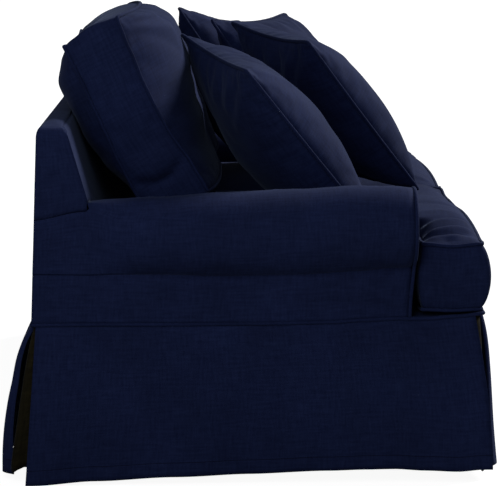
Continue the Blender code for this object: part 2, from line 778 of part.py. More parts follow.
def throw_pillow(name, pose, material):
    """A plump square pillow with drawn-in sides and full corners."""
    half = PILLOW_SIDE / 2
    steps = eased(-1, 1, 9)
    cells = [(i, j) for i in range(9) for j in range(9)]

    def fullness(corner):
        u, v = steps[corner[0]], steps[corner[1]]
        return ((1 - u * u) * (1 - v * v)) ** 0.5 * (1 - 0.12 * v)

    plan = {}
    for i, u in enumerate(steps):
        for j, v in enumerate(steps):
            plan[i, j] = (half * u * (1 - 0.04 * (1 - v * v)), half * v * (1 - 0.09 * (1 - u * u)))
    # The pillow is built lying face up, then stood on its edge, leaned back and turned.
    stand = Matrix.Rotation(math.pi / 2, 4, "X")
    turn, lean, roll = (math.radians(a) for a in (pose.turn, pose.lean, pose.roll))
    facing = Matrix.Rotation(turn, 4, "Z") @ Matrix.Rotation(lean, 4, "X") @ Matrix.Rotation(roll, 4, "Y")
    matrix = Matrix.Translation((pose.x, pose.y, pose.z)) @ facing @ stand
    body, (front, rear) = cushion(
        name, plan, cells,
        lambda c: PILLOW_SEAM / 2 + pose.front * fullness(c),
        lambda c: -PILLOW_SEAM / 2 - pose.back * fullness(c),
        None, (), matrix, material)
    edge = [((p + q) / 2, outward) for (p, outward), (q, _) in zip(front, rear)]
    cord = piping(name + "_piping", seam_cord(edge), material, True, matrix)
    return [body, cord]


def main():
    clear_scene()
    face = cloth_material("navy_cloth", (0.006, 0.010, 0.030))
    trim = cloth_material("navy_piping", (0.007, 0.011, 0.032))
    sides = (("left", -1), ("right", 1))

    back_panels = [outside_back(face), *inside_back(face), back_top_band(face)]
    decks = [seat_deck(face), deck_border(face)]
    for name, side in sides:
        arm_wrap("arm_wrap_" + name, side, face)
        outer_arm("outer_arm_" + name, side, face)
        back_side("back_side_" + name, side, face)
        arm_front("arm_front_" + name, side, face)
        arm_front_piping("arm_front_piping_" + name, side, trim)
        side_skirt("skirt_" + name, side, face)
        kick_pleat("kick_pleat_front_" + name, side, -1, face)
        kick_pleat("kick_pleat_back_" + name, side, 1, face)
    cross_skirt("skirt_front", front_skirt_reach, 0.033, 0.002, 0.012, -1, face)
    cross_skirt("skirt_back", back_skirt_reach, 0.017, 0.002, 0.022, 1, face)
    piping("skirt_seam_piping", seam_ring(), trim, closed=True)

    down, rearward = Vector((0, 0, -1)), Vector((0, 1, 0))
    seats = []
    for name, side in sides:
        group = seat_cushion("seat_cushion_" + name, side, SEAT_REAR_CROWN[name], face)
        settle(group, decks, down, 0.010)
        seats += group
    backs = []
    for name, pose in BACK_CUSHIONS.items():
        group = back_cushion("back_cushion_" + name, pose, face)
        settle(group, seats, down, 0.030)
        settle(group, back_panels, rearward, 0.030)
        settle(group, seats, down, 0.030)
        backs += group
    for name, pose in PILLOWS.items():
        group = throw_pillow(name, pose, face)
        settle(group, seats, down, 0.030)


main()
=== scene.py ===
import math
from collections import namedtuple

import bmesh
import bpy
from mathutils import Matrix, Vector, noise
from mathutils.kdtree import KDTree


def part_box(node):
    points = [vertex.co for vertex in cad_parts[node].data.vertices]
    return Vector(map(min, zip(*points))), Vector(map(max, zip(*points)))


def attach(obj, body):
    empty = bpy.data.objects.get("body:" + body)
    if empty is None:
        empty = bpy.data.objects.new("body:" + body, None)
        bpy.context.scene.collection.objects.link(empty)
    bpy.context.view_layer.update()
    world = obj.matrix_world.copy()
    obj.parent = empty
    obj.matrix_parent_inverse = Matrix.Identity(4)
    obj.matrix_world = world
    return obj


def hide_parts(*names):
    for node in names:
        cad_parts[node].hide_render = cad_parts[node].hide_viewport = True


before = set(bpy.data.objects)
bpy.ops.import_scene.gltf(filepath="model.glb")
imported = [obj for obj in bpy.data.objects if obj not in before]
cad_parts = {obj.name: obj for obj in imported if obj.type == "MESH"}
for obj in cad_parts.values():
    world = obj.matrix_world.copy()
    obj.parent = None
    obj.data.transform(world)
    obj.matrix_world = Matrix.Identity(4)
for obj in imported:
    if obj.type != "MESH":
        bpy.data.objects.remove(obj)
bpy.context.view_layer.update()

# ---------------------------------------------------------------- the studio
# A long lens looks along the sofa from its left arm, a little above the seat. The floor is pale and
# wide, the key light is large and stands high over the front, and the room gives an even fill.

SENSOR_WIDTH = 36.0
LENS_IN_WIDTHS = 5.078  # focal length in widths of the picture
LOOK_DOWN, LOOK_ROUND = math.radians(7.472), math.radians(0.8725)
FLOOR_REACH, FLOOR_Z = 90, -0.001


def with_settings(thing, **settings):
    for setting, value in settings.items():
        setattr(thing, setting, value)
    return thing


def put_in_scene(name, data):
    made = bpy.data.objects.new(name, data)
    bpy.context.scene.collection.objects.link(made)
    return made


def feed(tree, node, inputs):
    """Gives each named socket of the node its value, or joins it to the socket that feeds it."""
    for socket, source in inputs.items():
        if isinstance(source, bpy.types.NodeSocket):
            tree.links.new(source, node.inputs[socket])
        else:
            node.inputs[socket].default_value = source


def add_node(tree, kind, inputs=None, **settings):
    made = with_settings(tree.nodes.new(kind), **settings)
    feed(tree, made, inputs or {})
    return made


gaze = Vector((math.cos(LOOK_DOWN) * math.cos(LOOK_ROUND),
               -math.cos(LOOK_DOWN) * math.sin(LOOK_ROUND), -math.sin(LOOK_DOWN)))
rightward = Vector((-math.sin(LOOK_ROUND), -math.cos(LOOK_ROUND), 0))
camera_pose = Matrix((rightward, rightward.cross(gaze), -gaze)).transposed().to_4x4()
camera_pose.translation = Vector((-6.44, 0.0829, 1.231))

eye = with_settings(bpy.data.cameras.new("studio_camera"), sensor_fit="HORIZONTAL",
                    sensor_width=SENSOR_WIDTH, lens=SENSOR_WIDTH * LENS_IN_WIDTHS, clip_end=200.0)
camera = put_in_scene("studio_camera", eye)
camera.matrix_world = camera_pose
bpy.context.scene.camera = camera
bpy.context.scene.view_settings.view_transform = "Standard"
bpy.context.scene.view_settings.look = "None"

floor_mesh = bpy.data.meshes.new("studio_floor")
floor_mesh.from_pydata([(x * FLOOR_REACH, y * FLOOR_REACH, FLOOR_Z)
                        for x, y in ((-1, -1), (1, -1), (1, 1), (-1, 1))], [], [(0, 1, 2, 3)])
floor = put_in_scene("studio_floor", floor_mesh)
paper = bpy.data.materials.new("pale paper floor")
paper.use_nodes = True
# To the camera the paper looks evenly white, and it throws only a little light back up.
seen = add_node(paper.node_tree, "ShaderNodeLightPath")
white = add_node(paper.node_tree, "ShaderNodeMix", {
    "Factor": seen.outputs["Is Camera Ray"], "A": (0, 0, 0, 1), "B": (0.93, 0.93, 0.93, 1)}, data_type="RGBA")
feed(paper.node_tree, paper.node_tree.nodes["Principled BSDF"], {
    "Base Color": (0.30, 0.30, 0.30, 1), "Roughness": 0.95, "Specular IOR Level": 0.0,
    "Emission Color": white.outputs["Result"], "Emission Strength": 1.0})
floor_mesh.materials.append(paper)


def aimed_lamp(name, kind, toward, energy, colour):
    """A lamp that shines along toward, and the object that holds it."""
    lamp = with_settings(bpy.data.lights.new(name, kind), energy=energy, color=colour)
    holder = put_in_scene(name, lamp)
    holder.rotation_euler = Vector(toward).to_track_quat("-Z", "Y").to_euler()
    return lamp, holder


key_lamp, _ = aimed_lamp("key_over_the_front", "SUN", (-0.75, 1.00, -0.92), 3.3, (1.0, 0.99, 0.97))
key_lamp.angle = math.radians(20)
fill_lamp, fill_panel = aimed_lamp("fill_over_the_camera", "AREA", (2.05, -0.75, -1.25), 18.0,
                                   (0.94, 0.97, 1.0))
fill_lamp.size = 1.8
fill_panel.location = (-3.0, 0.85, 1.80)
fill_panel.visible_camera = False

room = bpy.data.worlds.new("even_room")
bpy.context.scene.world = room
room.use_nodes = True
air = room.node_tree.nodes["Background"]
feed(room.node_tree, air, {"Color": (0.93, 0.96, 1.0, 1), "Strength": 0.14})
backdrop = add_node(room.node_tree, "ShaderNodeBackground", {"Color": (1, 1, 1, 1)})
looked_at = add_node(room.node_tree, "ShaderNodeLightPath")
either = add_node(room.node_tree, "ShaderNodeMixShader", {
    "Fac": looked_at.outputs["Is Camera Ray"],
    1: air.outputs["Background"], 2: backdrop.outputs["Background"]})
feed(room.node_tree, room.node_tree.nodes["World Output"], {"Surface": either.outputs["Shader"]})

# ---------------------------------------------------------------- the cloth
# One heavy cotton, piece-dyed navy: a plain weave with thick and thin threads both ways, a faint worn
# bloom, and lint. Every panel carries its own warp direction as a flat map in metres.

STITCH_PITCH, STITCH_GAP = 0.0032, 0.28
STITCH_HALF_W = 0.0012


def node_group(name, takes, gives):
    """A node group with sockets (name, kind, value), and its inner ends."""
    tree = bpy.data.node_groups.new(name, "ShaderNodeTree")
    for way, sockets in (("INPUT", takes), ("OUTPUT", gives)):
        for label, kind, value in sockets:
            made = tree.interface.new_socket(name=label, in_out=way, socket_type="NodeSocket" + kind)
            if value is not None:
                made.default_value = value
    return tree, tree.nodes.new("NodeGroupInput").outputs, tree.nodes.new("NodeGroupOutput")


def slub_weave_group():
    """Thick and thin threads both ways over a fine plain weave; Along is the map in metres."""
    tree, inside, outside = node_group(
        "slub weave",
        (("Along", "Vector", None), ("Slub", "Float", 1.0), ("Dark", "Color", (0.0062, 0.0105, 0.043, 1)),
         ("Light", "Color", (0.0135, 0.0215, 0.074, 1))),
        (("Colour", "Color", None), ("Height", "Float", None), ("Roughness", "Float", None)))

    def streaks(across, along, turned, detail):
        scale = (along, across, 1) if turned else (across, along, 1)
        grid = add_node(tree, "ShaderNodeMapping", {"Vector": inside["Along"], "Scale": scale})
        threads = add_node(tree, "ShaderNodeTexNoise", {
            "Vector": grid.outputs["Vector"], "Scale": 1.0, "Detail": detail})
        return threads.outputs["Fac"]

    def sum_of(first, second, share=0.5):
        return add_node(tree, "ShaderNodeMix", {"Factor": share, "A": first, "B": second}).outputs["Result"]

    slubs = sum_of(streaks(210, 26, False, 3.0), streaks(190, 20, True, 3.0))
    fine = sum_of(streaks(900, 160, False, 1.0), streaks(880, 150, True, 1.0))
    cloud = streaks(5.5, 4.5, False, 3.0)
    both = sum_of(slubs, fine, 0.35)
    spread_out = add_node(tree, "ShaderNodeMapRange", {"Value": both, "From Min": 0.375, "From Max": 0.625})
    lift = add_node(tree, "ShaderNodeMath", {0: spread_out.outputs["Result"], 1: inside["Slub"]},
                    operation="MULTIPLY")
    tone = add_node(tree, "ShaderNodeMix", {
        "Factor": lift.outputs["Value"], "A": inside["Dark"], "B": inside["Light"]}, data_type="RGBA")
    bloom = add_node(tree, "ShaderNodeMapRange", {
        "Value": cloud, "From Min": 0.25, "From Max": 0.75, "To Min": 0.80, "To Max": 1.20})
    worn = add_node(tree, "ShaderNodeVectorMath", {
        "Vector": tone.outputs["Result"], "Scale": bloom.outputs["Result"]}, operation="SCALE")
    specks = add_node(tree, "ShaderNodeTexVoronoi", {"Vector": inside["Along"], "Scale": 17.0})
    tiny = add_node(tree, "ShaderNodeMath", {0: specks.outputs["Distance"], 1: 0.017}, operation="LESS_THAN")
    lint = add_node(tree, "ShaderNodeMix", {
        "Factor": tiny.outputs["Value"], "A": worn.outputs["Vector"], "B": (0.055, 0.070, 0.13, 1)},
        data_type="RGBA")
    rough = add_node(tree, "ShaderNodeMapRange", {"Value": both, "To Min": 0.80, "To Max": 0.96})
    feed(tree, outside, {
        "Colour": lint.outputs["Result"], "Height": both, "Roughness": rough.outputs["Result"]})
    return tree


def seam_line_group():
    """A row of stitches pressed into the cloth along a line of the map; Far is its distance away."""
    tree, inside, outside = node_group(
        "row of stitches", (("Along", "Vector", None), ("Far", "Float", 0.025)), (("Mask", "Float", None),))

    def step(operation, *values):
        return add_node(tree, "ShaderNodeMath", dict(enumerate(values)), operation=operation).outputs["Value"]

    parts = add_node(tree, "ShaderNodeSeparateXYZ", {"Vector": inside["Along"]})
    away = step("ABSOLUTE", step("SUBTRACT", parts.outputs["Y"], inside["Far"]))
    on_line = step("SUBTRACT", 1.0, step("MINIMUM", step("DIVIDE", away, STITCH_HALF_W), 1.0))
    stitch = step("GREATER_THAN", step("FRACT", step("DIVIDE", parts.outputs["X"], STITCH_PITCH)), STITCH_GAP)
    pressed = step("ADD", 0.35, step("MULTIPLY", stitch, 0.65))
    feed(tree, outside, {"Mask": step("MULTIPLY", on_line, pressed)})
    return tree


slub_weave, row_of_stitches = slub_weave_group(), seam_line_group()


def dyed_cotton(name, slub=1.0, hem_at=None, bump=0.5, dyes=None):
    """The cotton, navy unless other dyes are given; hem_at is how far above its lower edge a panel's
    hem is stitched."""
    made = bpy.data.materials.new(name)
    made.use_nodes = True
    tree = made.node_tree
    flat = add_node(tree, "ShaderNodeUVMap", uv_map="cloth").outputs["UV"]
    weave = add_node(tree, "ShaderNodeGroup", node_tree=slub_weave)
    feed(tree, weave, {"Along": flat, "Slub": slub, **(dyes or {})})
    colour, height = weave.outputs["Colour"], weave.outputs["Height"]
    if hem_at is not None:
        stitches = add_node(tree, "ShaderNodeGroup", node_tree=row_of_stitches)
        feed(tree, stitches, {"Along": flat, "Far": hem_at})
        mask = stitches.outputs["Mask"]
        height = add_node(tree, "ShaderNodeMath", {0: height, 1: mask}, operation="SUBTRACT").outputs["Value"]
        colour = add_node(tree, "ShaderNodeMix", {"Factor": mask, "A": colour, "B": (0.003, 0.004, 0.016, 1)},
                          data_type="RGBA").outputs["Result"]
    relief = add_node(tree, "ShaderNodeBump", {"Height": height, "Strength": bump, "Distance": 0.0012})
    feed(tree, tree.nodes["Principled BSDF"], {
        "Base Color": colour, "Roughness": weave.outputs["Roughness"], "Normal": relief.outputs["Normal"],
        "Specular IOR Level": 0.08, "Sheen Weight": 0.07, "Sheen Roughness": 0.35,
        "Sheen Tint": (0.50, 0.64, 1.0, 1)})
    return made


# ---------------------------------------------------------------- the arms
# Each arm is a long piece of cloth that runs from the seat up over the roll and down to the crease
# under it, a plain panel from there to the skirt, and a front panel set in with piping.

cover_cloth = dyed_cotton("navy cotton cover")
cord_cloth = dyed_cotton("navy bias-cut piping", 0.8, bump=0.35)

CLOTH, CORD_R = 0.0018, 0.0040
BESIDE_CORD = 0.0035  # from the middle of a piping to the edge of the panel sewn beside it
OUTER_X, INNER_X = 1.030, 0.820
DECK_Z = 0.3615
BACK_TOP_Z, BACK_LOW_Z, BACK_LOW_Y = 0.771, 0.345, 0.4725
ARM_FRONT_Y, ARM_REAR_Y = -0.356, 0.352
ARM_CURVE_DROP = 0.110
ROLL_X, ROLL_HALF_W = 0.985, 0.090
ROLL_FOOT = math.radians(-60)
BACK_MEETS_ROLL = 0.62  # share of the way from the roll's crease to its top
ARM_STEPS = 52
sides = (("left", -1), ("right", 1))


def table(columns, *rows):
    """Rows of measures under named columns."""
    row_of = namedtuple("Measures", columns)
    return [row_of(*row) for row in rows]


ARM_STATIONS = table(
    "y top_z crease_z roll",
    (-0.360, 0.634, 0.472, 1.00),
    (-0.310, 0.639, 0.469, 1.00),
    (-0.230, 0.639, 0.462, 1.00),
    (-0.100, 0.632, 0.455, 1.00),
    (0.060, 0.625, 0.452, 1.00),
    (0.200, 0.616, 0.456, 0.85),
    (0.300, 0.610, 0.457, 0.35),
    (0.352, 0.606, 0.457, 0.00),
    (0.480, 0.600, 0.458, 0.00))
SIDE_SKIRT = table(
    "y seam_z hem_z flare",
    (-0.505, 0.367, 0.030, 0.034),
    (-0.450, 0.361, 0.026, 0.036),
    (-0.380, 0.356, 0.028, 0.034),
    (-0.310, 0.356, 0.031, 0.030),
    (-0.250, 0.353, 0.030, 0.028),
    (-0.170, 0.348, 0.028, 0.029),
    (0.000, 0.345, 0.022, 0.033),
    (0.160, 0.344, 0.016, 0.034),
    (0.333, 0.344, 0.009, 0.042),
    (0.475, 0.343, 0.001, 0.052))


def blend(low, high, share):
    return low + (high - low) * share


def smooth(low, high, value):
    share = min(max((value - low) / (high - low), 0.0), 1.0)
    return share * share * (3 - 2 * share)


def fade(away, reach):
    return math.exp(-((away / reach) ** 2))


def spread(low, high, count):
    return [blend(low, high, i / count) for i in range(count + 1)]


def read(stations, place, column):
    """The value of a column at a place along its stations, eased between the two on either side."""
    place = min(max(place, stations[0][0]), stations[-1][0])
    for here, after in zip(stations, stations[1:]):
        if place <= after[0]:
            share = smooth(here[0], after[0], place)
            return blend(getattr(here, column), getattr(after, column), share)
    return getattr(stations[-1], column)


def outside_back_y(z):
    return blend(BACK_LOW_Y, 0.4575, (z - BACK_LOW_Z) / (BACK_TOP_Z - BACK_LOW_Z))


def inside_back_y(z):
    return 0.395 - (BACK_TOP_Z - z) * 0.295


def arm_front_y(z):
    return ARM_FRONT_Y + 0.011 * (1 - smooth(DECK_Z, 0.52, z))


def arm_profile(y, share):
    """(x, z) on the arm: 0 is the crease, 1 the top of the roll, 2 the inner face's head, 3 its foot."""
    top, crease = read(ARM_STATIONS, y, "top_z"), read(ARM_STATIONS, y, "crease_z")
    if share <= 1:
        half = (top - crease) / (1 - math.sin(ROLL_FOOT))
        angle = blend(ROLL_FOOT, math.pi / 2, share)
        x = ROLL_X + ROLL_HALF_W * math.cos(angle)
        flat_x = blend(OUTER_X, ROLL_X, smooth(0.88, 1.0, share) ** 2)
        hump = 0.020 * smooth(0.27, ARM_REAR_Y, y) * (1 - 0.8 * smooth(ARM_REAR_Y, BACK_LOW_Y, y))
        pull_up = hump * min(share / BACK_MEETS_ROLL, (1 - share) / (1 - BACK_MEETS_ROLL))
        return blend(flat_x, x, read(ARM_STATIONS, y, "roll")), top - half + half * math.sin(angle) + pull_up
    if share <= 2:
        angle = math.pi / 2 * (share - 1)
        return ROLL_X - (ROLL_X - INNER_X) * math.sin(angle), top - ARM_CURVE_DROP * (1 - math.cos(angle))
    return INNER_X, blend(top - ARM_CURVE_DROP, DECK_Z + 0.0004, share - 2)


def arm_point(side, y, share):
    x, z = arm_profile(y, share)
    return Vector((side * x, y, z))


def arm_end_y(share):
    """Where the arm's cloth meets the leaning inside back."""
    y = ARM_REAR_Y
    for _ in range(4):
        y = inside_back_y(arm_profile(y, share)[1]) + 0.002
    return y


def gentle(place, wavelength, seed):
    """Slow unevenness between -1 and 1."""
    spot = Vector(place) / wavelength + Vector((seed * 7.3, seed * 3.1, seed * 1.7))
    return noise.noise(spot) + 0.4 * noise.noise(spot * 2.1)


CREASE = "u1 v1 u2 v2 height width"


def creases_at(creases, u, v):
    """How far a panel stands out at (u, v) from its soft folds, each a ridge from one end to the other."""
    total = 0.0
    for c in creases:
        run = Vector((c.u2 - c.u1, c.v2 - c.v1))
        there = Vector((u - c.u1, v - c.v1))
        share = there.dot(run) / run.length_squared
        if -0.15 < share < 1.15:
            away = abs(there.x * run.y - there.y * run.x) / run.length
            taper = smooth(-0.15, 0.2, share) * (1 - smooth(0.8, 1.15, share))
            total += c.height * taper * fade(away, c.width)
    return total


def mesh_object(name, built, cloth):
    mesh = bpy.data.meshes.new(name)
    built.to_mesh(mesh)
    built.free()
    mesh.materials.append(cloth)
    return put_in_scene(name, mesh)


def running_length(line):
    """How far along the line each of its points lies."""
    runs = [0.0]
    for before, here in zip(line, line[1:]):
        runs.append(runs[-1] + (here - before).length)
    return runs


def sewn_panel(name, rows, facing, cloth, lift=None, keep=lambda i, j: True, *, stands_for):
    """A panel of cloth through the points in rows, raised by lift(point, u, v) along its normal, with
    the cells that keep(i, j) leaves in. u and v are metres of cloth along a row and up the columns, and
    they are its flat map."""
    wide = len(rows[0])
    us = running_length(rows[len(rows) // 2])
    vs = running_length([row[wide // 2] for row in rows])
    built = bmesh.new()
    flat = built.loops.layers.uv.new("cloth")
    points = [[built.verts.new(p) for p in row] for row in rows]
    area = 0.0
    for i in range(len(rows) - 1):
        for j in range(wide - 1):
            if keep(i, j):
                cell = ((i, j), (i, j + 1), (i + 1, j + 1), (i + 1, j))
                made = built.faces.new([points[a][b] for a, b in cell])
                made.smooth = True
                area += made.calc_area()
                for loop, (a, b) in zip(made.loops, cell):
                    loop[flat].uv = (us[b], vs[a])
    built.normal_update()
    turned = sum((f.normal * f.calc_area() for f in built.faces), Vector())
    if turned.dot(Vector(facing)) < 0:
        bmesh.ops.reverse_faces(built, faces=built.faces)
    built.normal_update()
    if lift:
        moves = [(points[i][j], points[i][j].normal * lift(points[i][j].co, us[j], vs[i]))
                 for i in range(len(rows)) for j in range(wide)]
        for point, move in moves:
            point.co += move
    bmesh.ops.delete(built, geom=[v for v in built.verts if not v.link_faces], context="VERTS")
    panel = mesh_object(name, built, cloth)
    with_settings(panel.modifiers.new("one layer of cloth", "SOLIDIFY"), thickness=CLOTH, offset=-1.0)
    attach(panel, "root")
    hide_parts(*stands_for)


def round_cord(name, path, closed, stands_for, around=10):
    """Piping along path, (point, outward) pairs, its cloth wrapped on the slant round a cord."""
    built = bmesh.new()
    flat = built.loops.layers.uv.new("cloth")
    facet = 0.0026  # of its cloth from one side of the cord to the next
    count, run = len(path), 0.0
    rings, runs = [], []
    turns = [2 * math.pi * k / around for k in range(around)]
    for i, (point, outward) in enumerate(path):
        ahead = path[(i + 1) % count][0] if closed or i + 1 < count else point
        behind = path[i - 1][0] if closed or i else point
        along = (ahead - behind).normalized()
        across = (outward - along * outward.dot(along)).normalized()
        over = along.cross(across)
        if i:
            run += (point - path[i - 1][0]).length
        size = CORD_R * (1 + 0.05 * gentle(point, 0.02, 3))
        runs.append(run)
        ring = [point + size * (math.cos(a) * across + math.sin(a) * over) for a in turns]
        rings.append([built.verts.new(spot) for spot in ring])
    for i in range(count if closed else count - 1):
        low, high = rings[i], rings[(i + 1) % count]
        step = (path[(i + 1) % count][0] - path[i][0]).length
        for k in range(around):
            made = built.faces.new((low[k], low[(k + 1) % around], high[(k + 1) % around], high[k]))
            made.smooth = True
            spots = ((runs[i], k), (runs[i], k + 1), (runs[i] + step, k + 1), (runs[i] + step, k))
            for loop, (u, turn) in zip(made.loops, spots):
                loop[flat].uv = (u + facet * turn, facet * turn - u)
    if not closed:
        built.faces.new(list(reversed(rings[0])))
        built.faces.new(rings[-1])
    bmesh.ops.recalc_face_normals(built, faces=built.faces)
    cord = mesh_object(name, built, cord_cloth)
    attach(cord, "root")
    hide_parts(stands_for)


outer_shares = spread(0, BACK_MEETS_ROLL, 16)
top_shares = [0.68, 0.74, 0.80, 0.86, 0.92, 1.0] + spread(1.0, 2.0, 14)[1:] + spread(2.0, 3.0, 8)[1:]

# Folds in each arm's cloth, in metres along the arm (y) and up (z): (y, z) to (y, z), height and width.
ROLL_CREASES = {
    "left": table(
        CREASE,
        (-0.34, 0.475, -0.20, 0.500, 0.0022, 0.009),
        (-0.30, 0.630, -0.22, 0.560, 0.0018, 0.012),
        (-0.06, 0.472, 0.10, 0.486, 0.0018, 0.010),
        (0.12, 0.600, 0.20, 0.520, 0.0016, 0.016),
        (0.24, 0.480, 0.34, 0.560, 0.0020, 0.014)),
    "right": table(
        CREASE,
        (-0.33, 0.480, -0.24, 0.520, 0.0020, 0.010),
        (-0.02, 0.610, 0.05, 0.540, 0.0016, 0.014),
        (0.20, 0.480, 0.31, 0.550, 0.0020, 0.014)),
}
PANEL_CREASES = {
    "left": table(
        CREASE,
        (-0.338, 0.398, -0.262, 0.446, -0.0058, 0.0075),
        (-0.330, 0.384, -0.240, 0.436, 0.0061, 0.0085),
        (-0.322, 0.370, -0.225, 0.410, -0.0046, 0.0085),
        (-0.280, 0.398, -0.175, 0.418, 0.0046, 0.0090),
        (-0.240, 0.380, -0.120, 0.394, -0.0038, 0.0100),
        (-0.160, 0.404, -0.060, 0.416, 0.0029, 0.0100),
        (0.02, 0.436, 0.16, 0.430, 0.0029, 0.0080),
        (0.10, 0.380, 0.22, 0.396, -0.0026, 0.0120),
        (0.27, 0.376, 0.37, 0.420, 0.0029, 0.0140)),
    "right": table(
        CREASE,
        (-0.330, 0.395, -0.230, 0.440, -0.0052, 0.0090),
        (-0.320, 0.380, -0.220, 0.424, 0.0049, 0.0090),
        (-0.270, 0.376, -0.160, 0.392, -0.0035, 0.0110),
        (0.10, 0.400, 0.24, 0.412, 0.0029, 0.0120)),
}

for name, side in sides:
    rows = []
    for share in [-0.03, -0.015] + outer_shares + top_shares:
        z_here = arm_profile(0.1, share)[1]
        rear = ARM_REAR_Y if share <= BACK_MEETS_ROLL else arm_end_y(share)
        ys = spread(arm_front_y(z_here) + BESIDE_CORD, rear, ARM_STEPS)
        ys += spread(rear, outside_back_y(z_here), 8)[1:]
        rows.append([arm_point(side, y, share) for y in ys])

    def arm_lift(p, u, v):
        still = smooth(-0.352, -0.30, p.y) * smooth(0.0, 0.03, v)
        drift = 0.0016 * gentle((p.y * 0.6, p.z, p.x), 0.075, side)
        pull = 0.0007 * gentle((p.y * 3.0, p.z * 0.6, 0), 0.05, side + 4)
        seat_side = 1 if abs(p.x) > 0.9 else 0.4
        folds = creases_at(ROLL_CREASES[name], p.y, p.z) * (abs(p.x) > 0.98)
        return still * (drift + pull) * seat_side + folds

    sewn_panel("arm_wrap_cloth_" + name, rows, (0, 0, 1), cover_cloth, arm_lift,
               lambda i, j: i < len(outer_shares) + 1 or j < ARM_STEPS,
               stands_for=["arm_wrap_" + name])

    rows = []
    for share in spread(0, 1, 14):
        z_here = blend(0.36, 0.457, share)
        row = []
        for y in spread(arm_front_y(z_here) + BESIDE_CORD, outside_back_y(z_here), 64):
            low = read(SIDE_SKIRT, y, "seam_z") + 0.0015
            high = read(ARM_STATIONS, y, "crease_z") + 0.006
            row.append(Vector((side * OUTER_X, y, blend(low, high, share))))
        rows.append(row)

    def panel_lift(p, u, v):
        fall = read(ARM_STATIONS, p.y, "crease_z")
        edges = smooth(fall, fall - 0.02, p.z) * smooth(0.002, 0.02, v)
        tuck = -0.0055 * smooth(fall - 0.016, fall, p.z)
        drift = 0.0018 * gentle((p.y, p.z * 2.0, 0), 0.07, side + 9)
        return tuck + edges * drift + creases_at(PANEL_CREASES[name], p.y, p.z) * smooth(0.0, 0.012, v)

    sewn_panel("outer_arm_cloth_" + name, rows, (side, 0, 0), cover_cloth, panel_lift,
               stands_for=["outer_arm_" + name])

    down_the_arm = spread(3, 2, 10) + spread(2, 1, 16)[1:] + spread(1, 0, 24)[1:]
    outline = [Vector(arm_profile(ARM_FRONT_Y, share)) for share in down_the_arm]
    foot = read(SIDE_SKIRT, ARM_FRONT_Y, "seam_z") + 0.001
    outline += [Vector((OUTER_X, z)) for z in spread(outline[-1].y, foot, 8)[1:]]
    outline[0].y = foot
    edge_line = []
    for k, here in enumerate(outline):
        along = (outline[min(k + 1, len(outline) - 1)] - outline[max(k - 1, 0)]).normalized()
        edge_line.append((here, Vector((-along.y, along.x))))
    path = [(Vector((side * (p.x - n.x * 0.001), arm_front_y(p.y), p.y - n.y * 0.001)),
             Vector((side * n.x, 0, n.y))) for p, n in edge_line]
    round_cord("arm_front_cord_" + name, path, False, "arm_front_piping_" + name)

    rows = []
    for share_out in (1.0, 0.93, 0.84, 0.70, 0.52, 0.34, 0.16, 0.02):
        swell = 0.005 * (1 - share_out**3)
        row = []
        for p, n in edge_line:
            edge = p - n * BESIDE_CORD
            heart = Vector((0.925, min(max(edge.y, foot), 0.54)))
            spot = blend(heart, edge, share_out)
            row.append(Vector((side * spot.x, arm_front_y(spot.y) - 0.001 - swell, spot.y)))
        rows.append(row)
    sewn_panel("arm_front_cloth_" + name, rows, (0, -1, 0), cover_cloth,
               lambda p, u, v: 0.0012 * gentle((p.x, p.z, 0), 0.06, side + 15),
               stands_for=["arm_front_" + name])

# ---------------------------------------------------------------- the back and the seat deck
# The back is a shallow box of cloth: outside back, leaning inside back, a strip along the top and a
# small panel at each end. The deck and its front border lie flat under the seat cushions.

SHOULDER = 0.020
TURN_OVER = 0.022
top_edge = BACK_TOP_Z - 0.0008
back_half = OUTER_X - 0.0010


def back_reach_x(z):
    """Half the width of the back, drawn in over its rounded shoulders."""
    above = min(max(z - (BACK_TOP_Z - SHOULDER), 0.0), SHOULDER)
    return OUTER_X - SHOULDER + math.sqrt(SHOULDER**2 - above**2)


def bend_over(z):
    """How far the cloth has turned over the top edge at height z, 0 below it and 1 on top."""
    climb = min(max(z - (BACK_TOP_Z - TURN_OVER), 0.0), TURN_OVER) / TURN_OVER
    return 1 - math.sqrt(1 - climb**2)


def rear_y(z):
    return outside_back_y(z) - 0.010 * bend_over(z)


def front_y(z):
    return inside_back_y(z) + 0.010 * bend_over(z)


def edge_round_y(z, share):
    """Front to back across the end of the back."""
    return blend(max(front_y(z), ARM_REAR_Y - 0.002), rear_y(z), share)


def held_in(x, z):
    return math.copysign(min(abs(x), back_reach_x(z) - 0.0010), x)


def height_on(line, x):
    for (x_high, z_low), (x_low, z_high) in zip(line, line[1:]):
        if x_low <= x <= x_high:
            return blend(z_low, z_high, (x_high - x) / max(x_high - x_low, 1e-6))
    return line[-1][1]


for name, side in sides:
    rows = []
    for share in spread(0, 1, 16):
        row = []
        for k in range(13):
            y_here = blend(ARM_REAR_Y, BACK_LOW_Y, k / 12)
            z_low = arm_profile(y_here, BACK_MEETS_ROLL)[1] + 0.0006
            z = blend(z_low, BACK_TOP_Z - SHOULDER, share)
            row.append(Vector((side * OUTER_X, edge_round_y(z, k / 12), z)))
        rows.append(row)
    for step in range(1, 8):
        z = BACK_TOP_Z - SHOULDER + SHOULDER * math.sin(math.pi / 2 * step / 7) - 0.0004
        rows.append([Vector((side * back_reach_x(z), edge_round_y(z, k / 12), z)) for k in range(13)])

    def end_lift(p, u, v):
        seam = -0.0022 * fade(v, 0.006)
        return seam + 0.0020 * gentle((p.y, p.z, 0), 0.06, side + 21) * smooth(0, 0.02, v) * (abs(p.x) > 1.02)

    sewn_panel("back_end_cloth_" + name, rows, (side, 0, 0), cover_cloth, end_lift,
               stands_for=["back_side_" + name])

